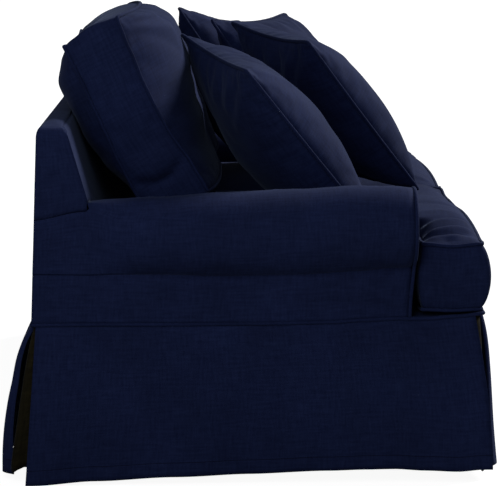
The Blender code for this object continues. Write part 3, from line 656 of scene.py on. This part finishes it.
heights = spread(0.3462, top_edge - 0.024, 26) + spread(top_edge - 0.024, top_edge, 8)[1:]
rows = [[Vector((held_in(x, z), rear_y(z), z)) for x in spread(-back_half, back_half, 90)] for z in heights]


def outside_back_lift(p, u, v):
    still = smooth(back_half, back_half - 0.05, abs(p.x)) * smooth(0, 0.03, v) * smooth(top_edge, 0.72, p.z)
    return 0.0028 * gentle((p.x * 0.6, p.z, 0), 0.12, 31) * still


sewn_panel("outside_back_cloth", rows, (0, 1, 0), cover_cloth, outside_back_lift,
           stands_for=["outside_back"])

# The inside back is cut away along the line where each arm's cloth meets it.
arm_line = [arm_profile(arm_end_y(share), share) for share in outer_shares[-1:] + top_shares[:20]]
over_arm = [(back_half, height_on(arm_line, back_half))] + [p for p in arm_line[1:-1] if p[0] < back_half]
notch, low_corner = len(over_arm), arm_line[-1][1]
columns = ([(-x, z) for x, z in over_arm] + [(x, low_corner) for x in spread(-0.8196, 0.8196, 60)]
           + [(x, z) for x, z in reversed(over_arm)])
rows = [[Vector((x, inside_back_y(z), z)) for x, _ in columns] for z in spread(DECK_Z, low_corner, 8)[:-1]]
rows_below = len(rows) - 1
for share in spread(0, 0.90, 14) + spread(0.90, 1, 8)[1:]:
    row = []
    for x, low in columns:
        z = blend(low + 0.0008, top_edge, share)
        row.append(Vector((held_in(x, z), front_y(z), z)))
    rows.append(row)
last = len(columns) - 1 - notch
sewn_panel("inside_back_cloth", rows, (0, -1, 0), cover_cloth, None,
           lambda i, j: i > rows_below or notch <= j < last,
           stands_for=["inside_back", "inside_back_over_arm_left", "inside_back_over_arm_right"])

top_half = OUTER_X - SHOULDER + 0.010
rows = []
for share in spread(0, 1, 10):
    y = blend(front_y(top_edge), rear_y(top_edge), share)
    crown = 0.009 * math.sin(math.pi * share) ** 0.5
    row = []
    for x in spread(-top_half, top_half, 110):
        rise = crown * (1 - smooth(top_half - 0.06, top_half - 0.006, abs(x)))
        row.append(Vector((x, y, top_edge + rise - 0.0022 * smooth(top_half - 0.006, top_half, abs(x)))))
    rows.append(row)


def top_band_lift(p, u, v):
    still = smooth(1.0, 0.94, abs(p.x)) * smooth(0.0, 0.01, v) * smooth(0.062, 0.052, v)
    return 0.0015 * gentle((p.x, p.y, 0), 0.07, 33) * still


sewn_panel("back_top_cloth", rows, (0, 0, 1), cover_cloth, top_band_lift,
           stands_for=["back_top_band"])

rows = [[Vector((x, y, DECK_Z)) for x in spread(-0.8216, 0.8216, 40)] for y in spread(-0.3450, 0.2790, 16)]
sewn_panel("seat_deck_cloth", rows, (0, 0, 1), cover_cloth,
           stands_for=["seat_deck"])

rows = []
for y in spread(-0.5006, -0.344, 10):
    border_half = 1.0266 - 0.008 * smooth(-0.47, -0.50, y)
    row = []
    for x in spread(-border_half, border_half, 90):
        edge = max(smooth(0.95, 1.0, abs(x) / border_half), smooth(-0.47, -0.50, y))
        row.append(Vector((x, y, blend(DECK_Z, read(SIDE_SKIRT, y, "seam_z"), edge))))
    rows.append(row)
sewn_panel("deck_border_cloth", rows, (0, 0, 1), cover_cloth,
           stands_for=["deck_border"])

# ---------------------------------------------------------------- the skirt
# Four flat panels hang from a piped seam to the floor, hemmed at the foot, and a strip of dark olive
# cloth folded round each corner stands behind the gap between them as the kick pleat.

skirt_cloth = dyed_cotton("navy cotton skirt with a stitched hem", hem_at=0.030)
lining_cloth = dyed_cotton("dark olive pleat lining", dyes={"Dark": (0.0060, 0.0050, 0.0022, 1),
                                                            "Light": (0.0200, 0.0165, 0.0070, 1)})
FRONT_Y, SKIRT_Y = -0.505, 0.5415
CORNER_X, REAR_CORNER_Y, FRONT_CORNER_Y = 1.004, 0.463, -0.487  # where the panels end at the seam
SEAM_HALF_X, SEAM_ROUND_R = OUTER_X - 0.001, 0.008


def seam_height(x, y):
    level = 0.367 if y < 0 else BACK_LOW_Z
    return blend(read(SIDE_SKIRT, y, "seam_z"), level, smooth(OUTER_X, OUTER_X - 0.12, abs(x)))


def front_reach(drop):
    early = 0.022 * (1 - math.exp(-drop / 0.2)) / (1 - math.exp(-5))
    return -(abs(FRONT_Y) + early + (SKIRT_Y - abs(FRONT_Y) - 0.022) * drop**2.5)


def back_reach(drop):
    early = 0.006 * smooth(0.0, 0.12, drop) * (1 - smooth(0.18, 0.42, drop))
    return BACK_LOW_Y + early + (SKIRT_Y - BACK_LOW_Y) * (1 - (1 - drop) ** 2.2)


runs = (
    [(x, FRONT_Y, Vector((0, -1, 0))) for x in spread(-CORNER_X, CORNER_X, 120)],
    [(SEAM_HALF_X, y, Vector((1, 0, 0))) for y in spread(FRONT_CORNER_Y, REAR_CORNER_Y, 70)],
    [(x, BACK_LOW_Y, Vector((0, 1, 0))) for x in spread(CORNER_X, -CORNER_X, 120)],
    [(-SEAM_HALF_X, y, Vector((-1, 0, 0))) for y in spread(REAR_CORNER_Y, FRONT_CORNER_Y, 70)],
)
corners = ((1, FRONT_Y, -90), (1, BACK_LOW_Y, 0), (-1, BACK_LOW_Y, 90), (-1, FRONT_Y, 180))
seam_ring = []
for run, (side, y, start) in zip(runs, corners):
    seam_ring += run
    for step in range(7):
        angle = math.radians(start + 15 * step)
        outward = Vector((math.cos(angle), math.sin(angle), 0))
        seam_ring.append((side * (SEAM_HALF_X - SEAM_ROUND_R) + SEAM_ROUND_R * outward.x,
                          y - math.copysign(SEAM_ROUND_R, y) + SEAM_ROUND_R * outward.y, outward))
path = [(Vector((x, y, seam_height(x, y))), outward) for x, y, outward in seam_ring]
round_cord("skirt_seam_cord", path, True, "skirt_seam_piping")

for name, side in sides:
    rows = []
    for drop in spread(1, 0, 28):
        rear = blend(REAR_CORNER_Y, 0.485, drop)
        front = FRONT_CORNER_Y - 0.038 * math.sin(math.pi / 2 * drop)
        row = []
        for y in spread(rear, front, 72):
            x = OUTER_X + read(SIDE_SKIRT, y, "flare") * drop**1.25
            high = read(SIDE_SKIRT, y, "seam_z") - BESIDE_CORD
            row.append(Vector((side * x, y, blend(high, read(SIDE_SKIRT, y, "hem_z"), drop))))
        rows.append(row)

    def side_lift(p, u, v):
        drop = 1 - min(v / 0.33, 1.0)
        fold = 0.0028 * math.sin(19 * p.y + side) + 0.0022 * gentle((p.y, p.z * 0.35, 0), 0.11, side + 41)
        return drop * fold + 0.0010 * gentle((p.y, p.z, 0), 0.05, side + 43) * smooth(0.33, 0.30, v)

    sewn_panel("skirt_cloth_" + name, rows, (side, 0, 0), skirt_cloth, side_lift,
               stands_for=["skirt_" + name])

for name, facing, reach_at, hem_z, curl_hem in (("front", -1, front_reach, 0.033, 0.012),
                                                ("back", 1, back_reach, 0.017, 0.027)):
    rows = []
    for drop in spread(1, 0, 28):
        half = blend(OUTER_X - 0.026, OUTER_X - 0.008, drop)
        curl_span, curl_size = blend(0.010, 0.030, drop), blend(0.008, curl_hem, drop)
        row = []
        for share in spread(-1, -0.95, 8) + spread(-0.95, 0.95, 110)[1:-1] + spread(0.95, 1, 8):
            x = half * share
            turn = min(max((abs(x) - (half - curl_span)) / curl_span, 0.0), 1.0)
            curl = curl_size * (1 - math.cos(turn * math.pi / 2))
            wave = 0.004 * drop * math.cos(9 * share) * (1 - share**8)
            y = reach_at(drop) - facing * (curl + max(wave, 0.0))
            hem = hem_z + 0.004 * math.sin(5 * share) ** 2 - 0.007 * smooth(0.9, 1.0, abs(share))
            row.append(Vector((x, y, blend(seam_height(x, facing * SKIRT_Y) - BESIDE_CORD, hem, drop))))
        rows.append(row)

    def long_side_lift(p, u, v):
        drift = min(0.0, 0.0024 * gentle((p.x, p.z * 0.3, 0), 0.10, facing + 51))
        return drift * smooth(0.33, 0.28, v) * smooth(1.0, 0.93, abs(p.x))

    sewn_panel("skirt_cloth_" + name, rows, (0, facing, 0), skirt_cloth, long_side_lift,
               stands_for=["skirt_" + name])

PLEAT_HALF = 0.09  # of its width, from the fold at the corner to either end
for name, side in sides:
    for end, facing, top_y, low_y in (("front", -1, 0.498, 0.512), ("back", 1, 0.466, 0.5205)):
        rows = []
        for drop in spread(1, 0, 16):
            x_out = blend(OUTER_X - 0.0028, OUTER_X + 0.012, drop**1.1)
            y_out = blend(top_y, low_y, drop**0.75)
            row = []
            for k in range(25):
                along = (k - 12) / 12
                fold = max(0.0, 1 - abs(along) * 6) ** 2 * 0.006
                x = x_out - fold - PLEAT_HALF * max(0.0, along)
                y = y_out - fold - PLEAT_HALF * max(0.0, -along)
                high, hem = seam_height(x, facing * y) - 0.006, 0.020 + 0.014 * min(1, 3 * abs(along))
                row.append(Vector((side * x, facing * y, blend(high, hem, drop))))
            rows.append(row)
        sewn_panel(f"kick_pleat_cloth_{end}_{name}", rows, (side, facing, 0), lining_cloth,
                   lambda p, u, v: 0.0012 * gentle((p.x, p.y, p.z * 0.4), 0.06, side + 61),
                   stands_for=[f"kick_pleat_{end}_{name}"])

# ---------------------------------------------------------------- the seat cushions
# Two foam cushions, each T-shaped so that its ear reaches out in front of the arm, boxed all round and
# piped along both edges. The cloth is a little loose, so it ruffles where it meets the piping.

cushion_cloth = dyed_cotton("navy cotton cushion")


def round_cell(i, j):
    return (i, j), (i + 1, j), (i + 1, j + 1), (i, j + 1)


def rim_of(cells):
    """The grid corners round the outside of the cells, in order."""
    steps = set()
    for i, j in cells:
        ring = round_cell(i, j)
        steps |= {(ring[k], ring[(k + 1) % 4]) for k in range(4)}
    after = {a: b for a, b in steps if (b, a) not in steps}
    rim = [min(after)]
    while after[rim[-1]] != rim[0]:
        rim.append(after[rim[-1]])
    return rim


def way_out(plan, rim, k):
    """The level direction out of the cushion at corner k of its rim, longer where the rim turns."""
    here = Vector(plan[rim[k]])
    after = (Vector(plan[rim[(k + 1) % len(rim)]]) - here).normalized()
    before = (here - Vector(plan[rim[k - 1]])).normalized()
    along = (after + before) / (1 + after.dot(before))
    return Vector((along.y, -along.x, 0.0))


def stuffed(name, plan, cells, front, back, bulge, levels, placed):
    """A filled cushion cover: a front and a back over the plan, and boxing with a row of points at each
    of the levels between them, pushed out by bulge(corner, level). Gives its seams too, as lists of
    point numbers and their ways out. Without levels the front and back meet in one seam."""
    corners = sorted({c for i, j in cells for c in round_cell(i, j)})
    rim = rim_of(cells)
    outward = {corner: way_out(plan, rim, k) for k, corner in enumerate(rim)}
    built = bmesh.new()
    flat = built.loops.layers.uv.new("cloth")
    top = {c: built.verts.new((*plan[c], front(c))) for c in corners}
    low = {c: built.verts.new((*plan[c], back(c))) for c in corners if levels or c not in outward}
    if not levels:
        low.update({c: top[c] for c in outward})
    back_on_map, boxing_on_map = 3.0, 6.0  # where the map lays these, clear of the front
    for i, j in cells:
        cell = round_cell(i, j)
        for points, order, shift in ((top, cell, 0.0), (low, cell[::-1], back_on_map)):
            made = built.faces.new([points[c] for c in order])
            for loop, c in zip(made.loops, order):
                loop[flat].uv = (plan[c][0] + shift, plan[c][1])
    if levels:
        walls = [top]
        for level in levels:
            walls.append({c: built.verts.new(Vector((*plan[c], blend(front(c), back(c), level)))
                                             + outward[c] * bulge(c, level)) for c in rim})
        walls.append(low)
        marks = [0.0, *levels, 1.0]
        run = 0.0
        for k, corner in enumerate(rim):
            after = rim[(k + 1) % len(rim)]
            step = (Vector(plan[after]) - Vector(plan[corner])).length
            deep = abs(front(corner) - back(corner))
            for w in range(len(walls) - 1):
                ends = ((w, after, run + step), (w, corner, run),
                        (w + 1, corner, run), (w + 1, after, run + step))
                made = built.faces.new([walls[row][c] for row, c, _ in ends])
                for loop, (row, _, u) in zip(made.loops, ends):
                    loop[flat].uv = (u, boxing_on_map + marks[row] * deep)
            run += step
    for made in built.faces:
        made.smooth = True
    if built.calc_volume(signed=True) < 0:
        bmesh.ops.reverse_faces(built, faces=built.faces)
    built.normal_update()
    built.verts.index_update()
    seams = [[(face_points[c].index, outward[c]) for c in rim] for face_points in (top, low)]
    cover = mesh_object(name, built, cushion_cloth)
    cover.matrix_world = placed
    pins = cover.vertex_groups.new(name="seams")
    pins.add(sorted({i for seam in seams for i, _ in seam}), 1.0, "REPLACE")
    return cover, seams


def fill_with_stuffing(cover, pressure, loose, cap, frames=20):
    """Lets the filling push the loose cloth out between its pinned seams, by cap at the most."""
    before = [v.co.copy() for v in cover.data.vertices]
    push = cover.modifiers.new("stuffing", "CLOTH")
    with_settings(push.settings, quality=6, mass=0.25, tension_stiffness=12.0, compression_stiffness=12.0,
                  shear_stiffness=4.0, bending_stiffness=0.25, air_damping=3.0, use_pressure=True,
                  uniform_pressure_force=pressure, shrink_min=-loose, vertex_group_mass="seams")
    push.settings.effector_weights.gravity = 0.0
    push.point_cache.frame_end = frames + 1
    scene = bpy.context.scene
    for number in range(1, frames + 1):
        scene.frame_set(number)
        graph = bpy.context.evaluated_depsgraph_get()
        shaped = cover.evaluated_get(graph)
    after = [v.co.copy() for v in shaped.to_mesh().vertices]
    shaped.to_mesh_clear()
    cover.modifiers.remove(push)
    scene.frame_set(1)
    for vertex, old, new in zip(cover.data.vertices, before, after):
        move = new - old
        vertex.co = old + move * (cap / (cap + move.length))
    cover.data.update()


def ruffle_near(cover, seams, deep, span, pitch, seed):
    """Small puckers that run into the seams, strongest beside them and gone a hand's width away."""
    vertices = cover.data.vertices
    lines = [index for seam in seams for index, _ in seam]
    tree = KDTree(len(lines))
    for k, index in enumerate(lines):
        tree.insert(vertices[index].co, k)
    tree.balance()
    runs, run = [], 0.0
    for k, index in enumerate(lines):
        if k:
            run += min((vertices[index].co - vertices[lines[k - 1]].co).length, 0.05)
        runs.append(run)
    pinned = set(lines)
    normals = [v.normal.copy() for v in vertices]
    for vertex, normal in zip(vertices, normals):
        if vertex.index in pinned:
            continue
        _, k, away = tree.find(vertex.co)
        if away < span * 3:
            side_of = 1.0 if normal.z > 0 else -1.0
            wander = runs[k] / pitch + 0.6 * gentle((runs[k], away, side_of), 0.09, seed)
            strength = 0.5 + 0.5 * gentle((runs[k], side_of, 0), 0.12, seed + 2)
            fold = math.sin(2 * math.pi * wander) * max(strength, 0.0)
            vertex.co += normal * deep * fold * math.exp(-away / span) * min(1.0, away / 0.006)


def finish_cushion(cover, fill, *nodes):
    with_settings(cover.modifiers.new("soft surface", "SUBSURF"), levels=1, render_levels=1)
    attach(cover, "root")
    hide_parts(*nodes)


def cord_on_seam(name, cover, seam, out, node):
    placed = cover.matrix_world
    turned = placed.to_3x3()
    vertices = cover.data.vertices
    path = [(placed @ (vertices[index].co + outward * out), turned @ outward) for index, outward in seam]
    round_cord(name, path, True, node)


SEAT_X = (0.0125, 0.806, 1.020)
SEAT_Y = (-0.500, -0.374, 0.262)
SEAT_Z = (0.372, 0.511)
SEAT_REAR_CROWN = {"left": 0.026, "right": 0.012}
SEAT_DENTS = table("x y reach depth", (-0.30, -0.40, 0.11, 0.012), (0.70, -0.24, 0.12, 0.014))
SEAT_CREASES = table(
    CREASE,
    (-1.012, -0.384, -0.996, -0.440, -0.0069, 0.008),
    (-0.996, -0.380, -0.982, -0.462, 0.0093, 0.009),
    (-0.974, -0.378, -0.962, -0.478, -0.0089, 0.010),
    (-0.950, -0.376, -0.930, -0.488, 0.0097, 0.011),
    (-0.918, -0.376, -0.895, -0.490, -0.0073, 0.012),
    (-0.875, -0.380, -0.850, -0.490, 0.0073, 0.014),
    (-0.820, -0.360, -0.800, -0.490, -0.0061, 0.016),
    (-0.760, -0.330, -0.750, -0.480, 0.0053, 0.018),
    (-0.560, -0.300, -0.600, -0.470, -0.0053, 0.022),
    (0.960, -0.380, 0.940, -0.480, 0.0081, 0.010),
    (0.920, -0.380, 0.880, -0.480, -0.0073, 0.012),
    (0.860, -0.360, 0.820, -0.480, 0.0061, 0.016),
    (0.080, -0.480, 0.180, -0.360, 0.0061, 0.016),
    (-0.060, -0.470, -0.140, -0.380, 0.0061, 0.016))
ROOM_TO_SWELL = 0.005  # under a seat cushion before its filling swells it


def between(low, high, pitch):
    return spread(low, high, max(2, round((high - low) / pitch)))


for name, side in sides:
    inner, arm, ear = SEAT_X
    front, notch_y, rear = SEAT_Y
    pitch = 0.0105
    xs = between(inner, arm, pitch) + between(arm, ear, pitch)[1:]
    ys = between(front, notch_y, pitch) + between(notch_y, rear, pitch * 1.3)[1:]
    arm_i, notch_j = xs.index(arm), ys.index(notch_y)
    cells = [(i, j) for i in range(len(xs) - 1) for j in range(len(ys) - 1) if i < arm_i or j < notch_j]
    tips = ((inner, front), (ear, front), (ear, notch_y), (arm, rear), (inner, rear))

    def flat_at(c):
        return Vector((xs[c[0]], ys[c[1]]))

    def lift_at(here):
        return sum(fade((here - Vector(tip)).length, 0.05) for tip in tips)

    def seat_top(c):
        here = flat_at(c)
        across = max(min(here.x - inner, (ear if here.y < notch_y + 0.001 else arm) - here.x), 0.0)
        along = max(min(here.y - front, (rear if here.x < arm + 0.001 else notch_y) - here.y), 0.0)
        crown = blend(0.040, SEAT_REAR_CROWN[name], smooth(-0.3, 0.1, here.y))
        crown *= 1 - math.exp(-along / 0.022)
        edge = 0.0
        if inner < here.x < ear:
            edge = 0.011 * math.sin(math.pi * (here.x - inner) / (ear - inner)) ** 0.7
        middle = 0.008 * fade(here.x - inner, 0.06)
        rise = edge * (1 - smooth(0, 0.2, along)) + middle * (1 - smooth(front, 0.0, here.y))
        sunk = sum(d.depth * fade(Vector((side * here.x - d.x, here.y - d.y)).length, d.reach)
                   for d in SEAT_DENTS)
        fold = creases_at(SEAT_CREASES, side * here.x, here.y) * smooth(0, 0.02, min(along, across))
        return SEAT_Z[1] + rise - sunk + 0.008 * lift_at(here) + crown * (1 - math.exp(-across / 0.07)) + fold

    def seat_bottom(c):
        here = flat_at(c)
        depth = max(0.0, min(here.x - inner, ear - here.x, here.y - front, rear - here.y))
        return SEAT_Z[0] + 0.004 * lift_at(here) - 0.0035 * (1 - math.exp(-depth / 0.03))

    plan = {}
    for i, x in enumerate(xs):
        for j, y in enumerate(ys):
            bow = 0.011 * math.sin(math.pi * (x - inner) / (ear - inner))
            bow *= 1 - smooth(front, front + 0.06, y)
            plan[i, j] = (side * x, y - max(bow, 0.0))
    mirror = len(xs) - 1
    if side < 0:
        plan = {(mirror - i, j): spot for (i, j), spot in plan.items()}
        cells = [(mirror - 1 - i, j) for i, j in cells]

    def own(c):
        return (mirror - c[0], c[1]) if side < 0 else c

    def seat_bulge(c, level):
        i, j = own(c)
        reach = 0.020 if j == 0 and i else 0.009 if i else 0.006
        return reach * math.sin(math.pi * level) ** 0.7

    levels = [w / 10 for w in range(1, 10)]
    cover, seams = stuffed("seat_cushion_cover_" + name, plan, cells, lambda c: seat_top(own(c)),
                           lambda c: seat_bottom(own(c)), seat_bulge, levels, Matrix())
    lowest = min(v.co.z for v in cover.data.vertices)
    cover.location.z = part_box("seat_cushion_" + name)[0][2] + ROOM_TO_SWELL - lowest
    bpy.context.view_layer.update()
    fill_with_stuffing(cover, 1.5, 0.012, 0.006)
    ruffle_near(cover, seams, 0.0024, 0.024, 0.021, side + 71)
    for edge, seam in zip(("top", "bottom"), seams):
        cord_on_seam(f"seat_cord_{edge}_{name}", cover, seam, 0.0014, f"seat_cushion_{name}_piping_{edge}")
    finish_cushion(cover, 0.85, "seat_cushion_" + name)

# ---------------------------------------------------------------- the back cushions
# Two soft box cushions lean on the inside back. They are full in the upper half, slump at the foot,
# and their boxing is piped front and back.

BACK_CUSHION_ROWS = table(
    "height back_seam back_middle front_seam front_middle",
    (-1.00, -0.070, -0.062, 0.057, 0.088),
    (-0.92, -0.080, -0.078, 0.058, 0.088),
    (-0.66, -0.086, -0.092, 0.056, 0.091),
    (-0.25, -0.085, -0.122, 0.046, 0.117),
    (0.05, -0.079, -0.133, 0.046, 0.132),
    (0.25, -0.076, -0.129, 0.048, 0.150),
    (0.66, -0.070, -0.130, 0.057, 0.158),
    (0.92, -0.069, -0.096, 0.063, 0.138),
    (1.00, -0.069, -0.068, 0.066, 0.106))
CushionPose = namedtuple("CushionPose", "side y z lean height fullness slump pressed foot")
BACK_CUSHIONS = {
    "left": CushionPose(-1, 0.2455, 0.7717, math.radians(28.5), 0.442, 1.00, 0.000, 0.00, 0.026),
    "right": CushionPose(1, 0.2382, 0.7279, math.radians(30.5), 0.368, 0.94, 0.064, 0.85, 0.010),
}
# Folds that fan out over the front from its upper corner, in metres from the middle of the cushion.
BACK_CREASES = table(
    CREASE,
    (-0.37, 0.205, -0.18, 0.185, 0.0056, 0.009),
    (-0.37, 0.195, -0.16, 0.155, -0.0052, 0.009),
    (-0.37, 0.185, -0.17, 0.120, 0.0050, 0.011),
    (-0.365, 0.170, -0.20, 0.080, -0.0038, 0.012),
    (-0.30, 0.212, -0.10, 0.205, -0.0042, 0.008),
    (-0.20, -0.05, 0.02, -0.02, -0.0030, 0.020))
BACK_INNER_X, BACK_OUTER_X = 0.0185, 0.800


def turn_up(lean):
    """Stands a plan up with its front towards the seat, leaning back."""
    across, up = Vector((1, 0, 0)), Vector((0, math.sin(lean), math.cos(lean)))
    return Matrix((across, up, across.cross(up))).transposed().to_4x4()


def closer_at_ends(count, power):
    """Steps from -1 to 1 that draw closer together towards both ends."""
    return [math.copysign(1 - (1 - abs(t)) ** power, t) for t in spread(-1, 1, count)]


for name, pose in BACK_CUSHIONS.items():
    half_w, half_h = (BACK_OUTER_X - BACK_INNER_X) / 2, pose.height / 2
    us, vs = closer_at_ends(64, 1.25), closer_at_ends(38, 1.25)
    cells = [(i, j) for i in range(len(us) - 1) for j in range(len(vs) - 1)]

    def share_filled(u, squareness):
        return (1 - abs(u) ** squareness) ** 0.8 * (1 - pose.pressed * (1 + u * pose.side) / 2)

    def between_seam_and_middle(v, face, filled):
        seam, middle = (read(BACK_CUSHION_ROWS, v, face + column) for column in ("_seam", "_middle"))
        return blend(seam, middle, pose.fullness * filled)

    def front_face(c):
        u, v = us[c[0]], vs[c[1]]
        filled = share_filled(u, 3.2)
        sunk_end = 0.25 + 0.75 * (1 + u * pose.side) / 2
        slump = pose.slump * sunk_end * filled * fade(v + 0.4, 0.75)
        # The folds fan out from the corner at the sofa's end on either cushion.
        fold = creases_at(BACK_CREASES, math.copysign(half_w * u, -pose.side * u), half_h * v)
        fold *= smooth(0, 0.06, 1 - abs(v)) * smooth(0, 0.04, 1 - abs(u))
        return between_seam_and_middle(v, "front", filled) + slump + fold

    def back_face(c):
        u, v = us[c[0]], vs[c[1]]
        return between_seam_and_middle(v, "back", share_filled(u, 8.0))

    def end_bulge(c, level):
        u, v = us[c[0]], vs[c[1]]
        round_out = math.sin(math.pi * level) ** 0.7
        if c[1] == 0:
            early = math.sqrt(1 - (1 - min(level / 0.3, 1.0)) ** 2)
            return blend(0.010, pose.foot, 1 - abs(u) ** 10) * early * (1 - smooth(0.7, 1.0, level) ** 2)
        if pose.side * u < 0.99:
            return 0.012 * round_out
        above = half_h * v + 0.116 + 0.031 * math.sin(math.pi * level)
        sag = 0.011 * fade(above - 0.034, 0.034) - 0.017 * fade(above, 0.0075)
        return (0.010 + sag) * round_out

    plan = {}
    for i, u in enumerate(us):
        for j, v in enumerate(vs):
            ears = 1 - 0.020 * (abs(u) * abs(v)) ** 10
            dip = 0.012 * (1 - u**4) * smooth(0.6, 1.0, v)
            plan[i, j] = (half_w * u * ears, half_h * v * ears - dip)
    middle_x = pose.side * (BACK_INNER_X + BACK_OUTER_X) / 2
    placed = Matrix.Translation((middle_x, pose.y, pose.z)) @ turn_up(pose.lean)
    levels = [w / 12 for w in range(1, 12)]
    cover, seams = stuffed("back_cushion_cover_" + name, plan, cells, front_face, back_face, end_bulge,
                           levels, placed)
    fill_with_stuffing(cover, 1.5, 0.02, 0.008)
    ruffle_near(cover, seams, 0.0030, 0.026, 0.020, pose.side + 81)
    for face, seam in zip(("front", "back"), seams):
        cord_on_seam(f"back_cord_{face}_{name}", cover, seam, 0.0016, f"back_cushion_{name}_piping_{face}")
    finish_cushion(cover, 0.6, "back_cushion_" + name)

# ---------------------------------------------------------------- the throw pillows
# Four square pillows of the same cotton, plump in the middle with full corners, piped in the one seam
# round their edge, and puckered along it.

PILLOW_SIDE = 0.478
PillowPose = namedtuple("PillowPose", "x y z turn lean roll front back settled seed")
PILLOWS = {
    "pillow_arm_left": PillowPose(-0.633, -0.0615, 0.7360, 12.0, -40.6, -9.1, 0.092, 0.102, 0.32, 5),
    "pillow_mid_left": PillowPose(-0.178, -0.1935, 0.7549, 19.1, -39.7, -4.2, 0.102, 0.084, 0.24, 6),
    "pillow_mid_right": PillowPose(0.323, -0.1500, 0.7592, -25.4, -37.6, 0.2, 0.095, 0.088, 0.12, 7),
    "pillow_arm_right": PillowPose(0.577, -0.0395, 0.7540, -16.0, -37.0, 8.5, 0.080, 0.156, 0.12, 8),
}
PILLOW_CREASES = table(
    CREASE,
    (-0.20, 0.20, -0.10, 0.09, 0.0052, 0.012),
    (0.21, 0.20, 0.09, 0.10, 0.0048, 0.012),
    (0.17, 0.215, 0.11, 0.150, -0.0056, 0.008),
    (0.12, 0.215, 0.07, 0.145, 0.0060, 0.009),
    (0.06, 0.210, 0.03, 0.150, -0.0054, 0.009),
    (0.00, 0.205, -0.01, 0.150, 0.0050, 0.009),
    (-0.06, 0.205, -0.05, 0.155, -0.0046, 0.009),
    (-0.21, -0.20, -0.10, -0.12, -0.0056, 0.012),
    (-0.19, -0.21, -0.05, -0.17, 0.0050, 0.010),
    (0.20, -0.20, 0.10, -0.11, 0.0046, 0.012),
    (0.12, -0.210, 0.02, -0.165, -0.0042, 0.010),
    (-0.12, -0.05, 0.02, -0.09, -0.0030, 0.022),
    (-0.02, 0.07, 0.10, 0.03, -0.0026, 0.020))

upright = Matrix.Rotation(math.pi / 2, 4, "X")
half, steps = PILLOW_SIDE / 2, closer_at_ends(46, 1.3)

for node, pose in PILLOWS.items():
    cells = [(i, j) for i in range(46) for j in range(46)]

    def fullness(c):
        u, v = steps[c[0]], steps[c[1]]
        return ((1 - u * u) * (1 - v * v)) ** 0.5

    def pillow_face(c, crown, facing):
        u, v = steps[c[0]], steps[c[1]]
        fold = creases_at(PILLOW_CREASES, half * u * facing, half * v) * smooth(0, 0.10, fullness(c))
        drift = 0.004 * gentle((half * u, half * v, facing), 0.13, pose.seed) * fullness(c)
        low_down = 1 - (0.12 if facing > 0 else pose.settled) * v
        return facing * (crown * fullness(c) * low_down + fold + drift)

    plan = {}
    for i, u in enumerate(steps):
        for j, v in enumerate(steps):
            tip = 1 - 0.022 * (abs(u) * abs(v)) ** 14
            drawn_in, sunk = 1 - 0.04 * (1 - v * v), 1 - 0.09 * (1 - u * u)
            plan[i, j] = (half * u * drawn_in * tip, half * v * sunk * tip)
    turn, lean, roll = (Matrix.Rotation(math.radians(angle), 4, axis)
                        for angle, axis in ((pose.turn, "Z"), (pose.lean, "X"), (pose.roll, "Y")))
    placed = Matrix.Translation((pose.x, pose.y, pose.z)) @ (turn @ lean @ roll) @ upright
    cover, seams = stuffed(node + "_cover", plan, cells, lambda c: pillow_face(c, pose.front, 1),
                           lambda c: pillow_face(c, pose.back, -1), None, (), placed)
    fill_with_stuffing(cover, 2.0, 0.03, 0.008)
    ruffle_near(cover, seams[:1], 0.0044, 0.030, 0.019, pose.seed)
    cord_on_seam(node + "_cord", cover, seams[0], 0.0016, node + "_piping")
    finish_cushion(cover, 0.7, node)
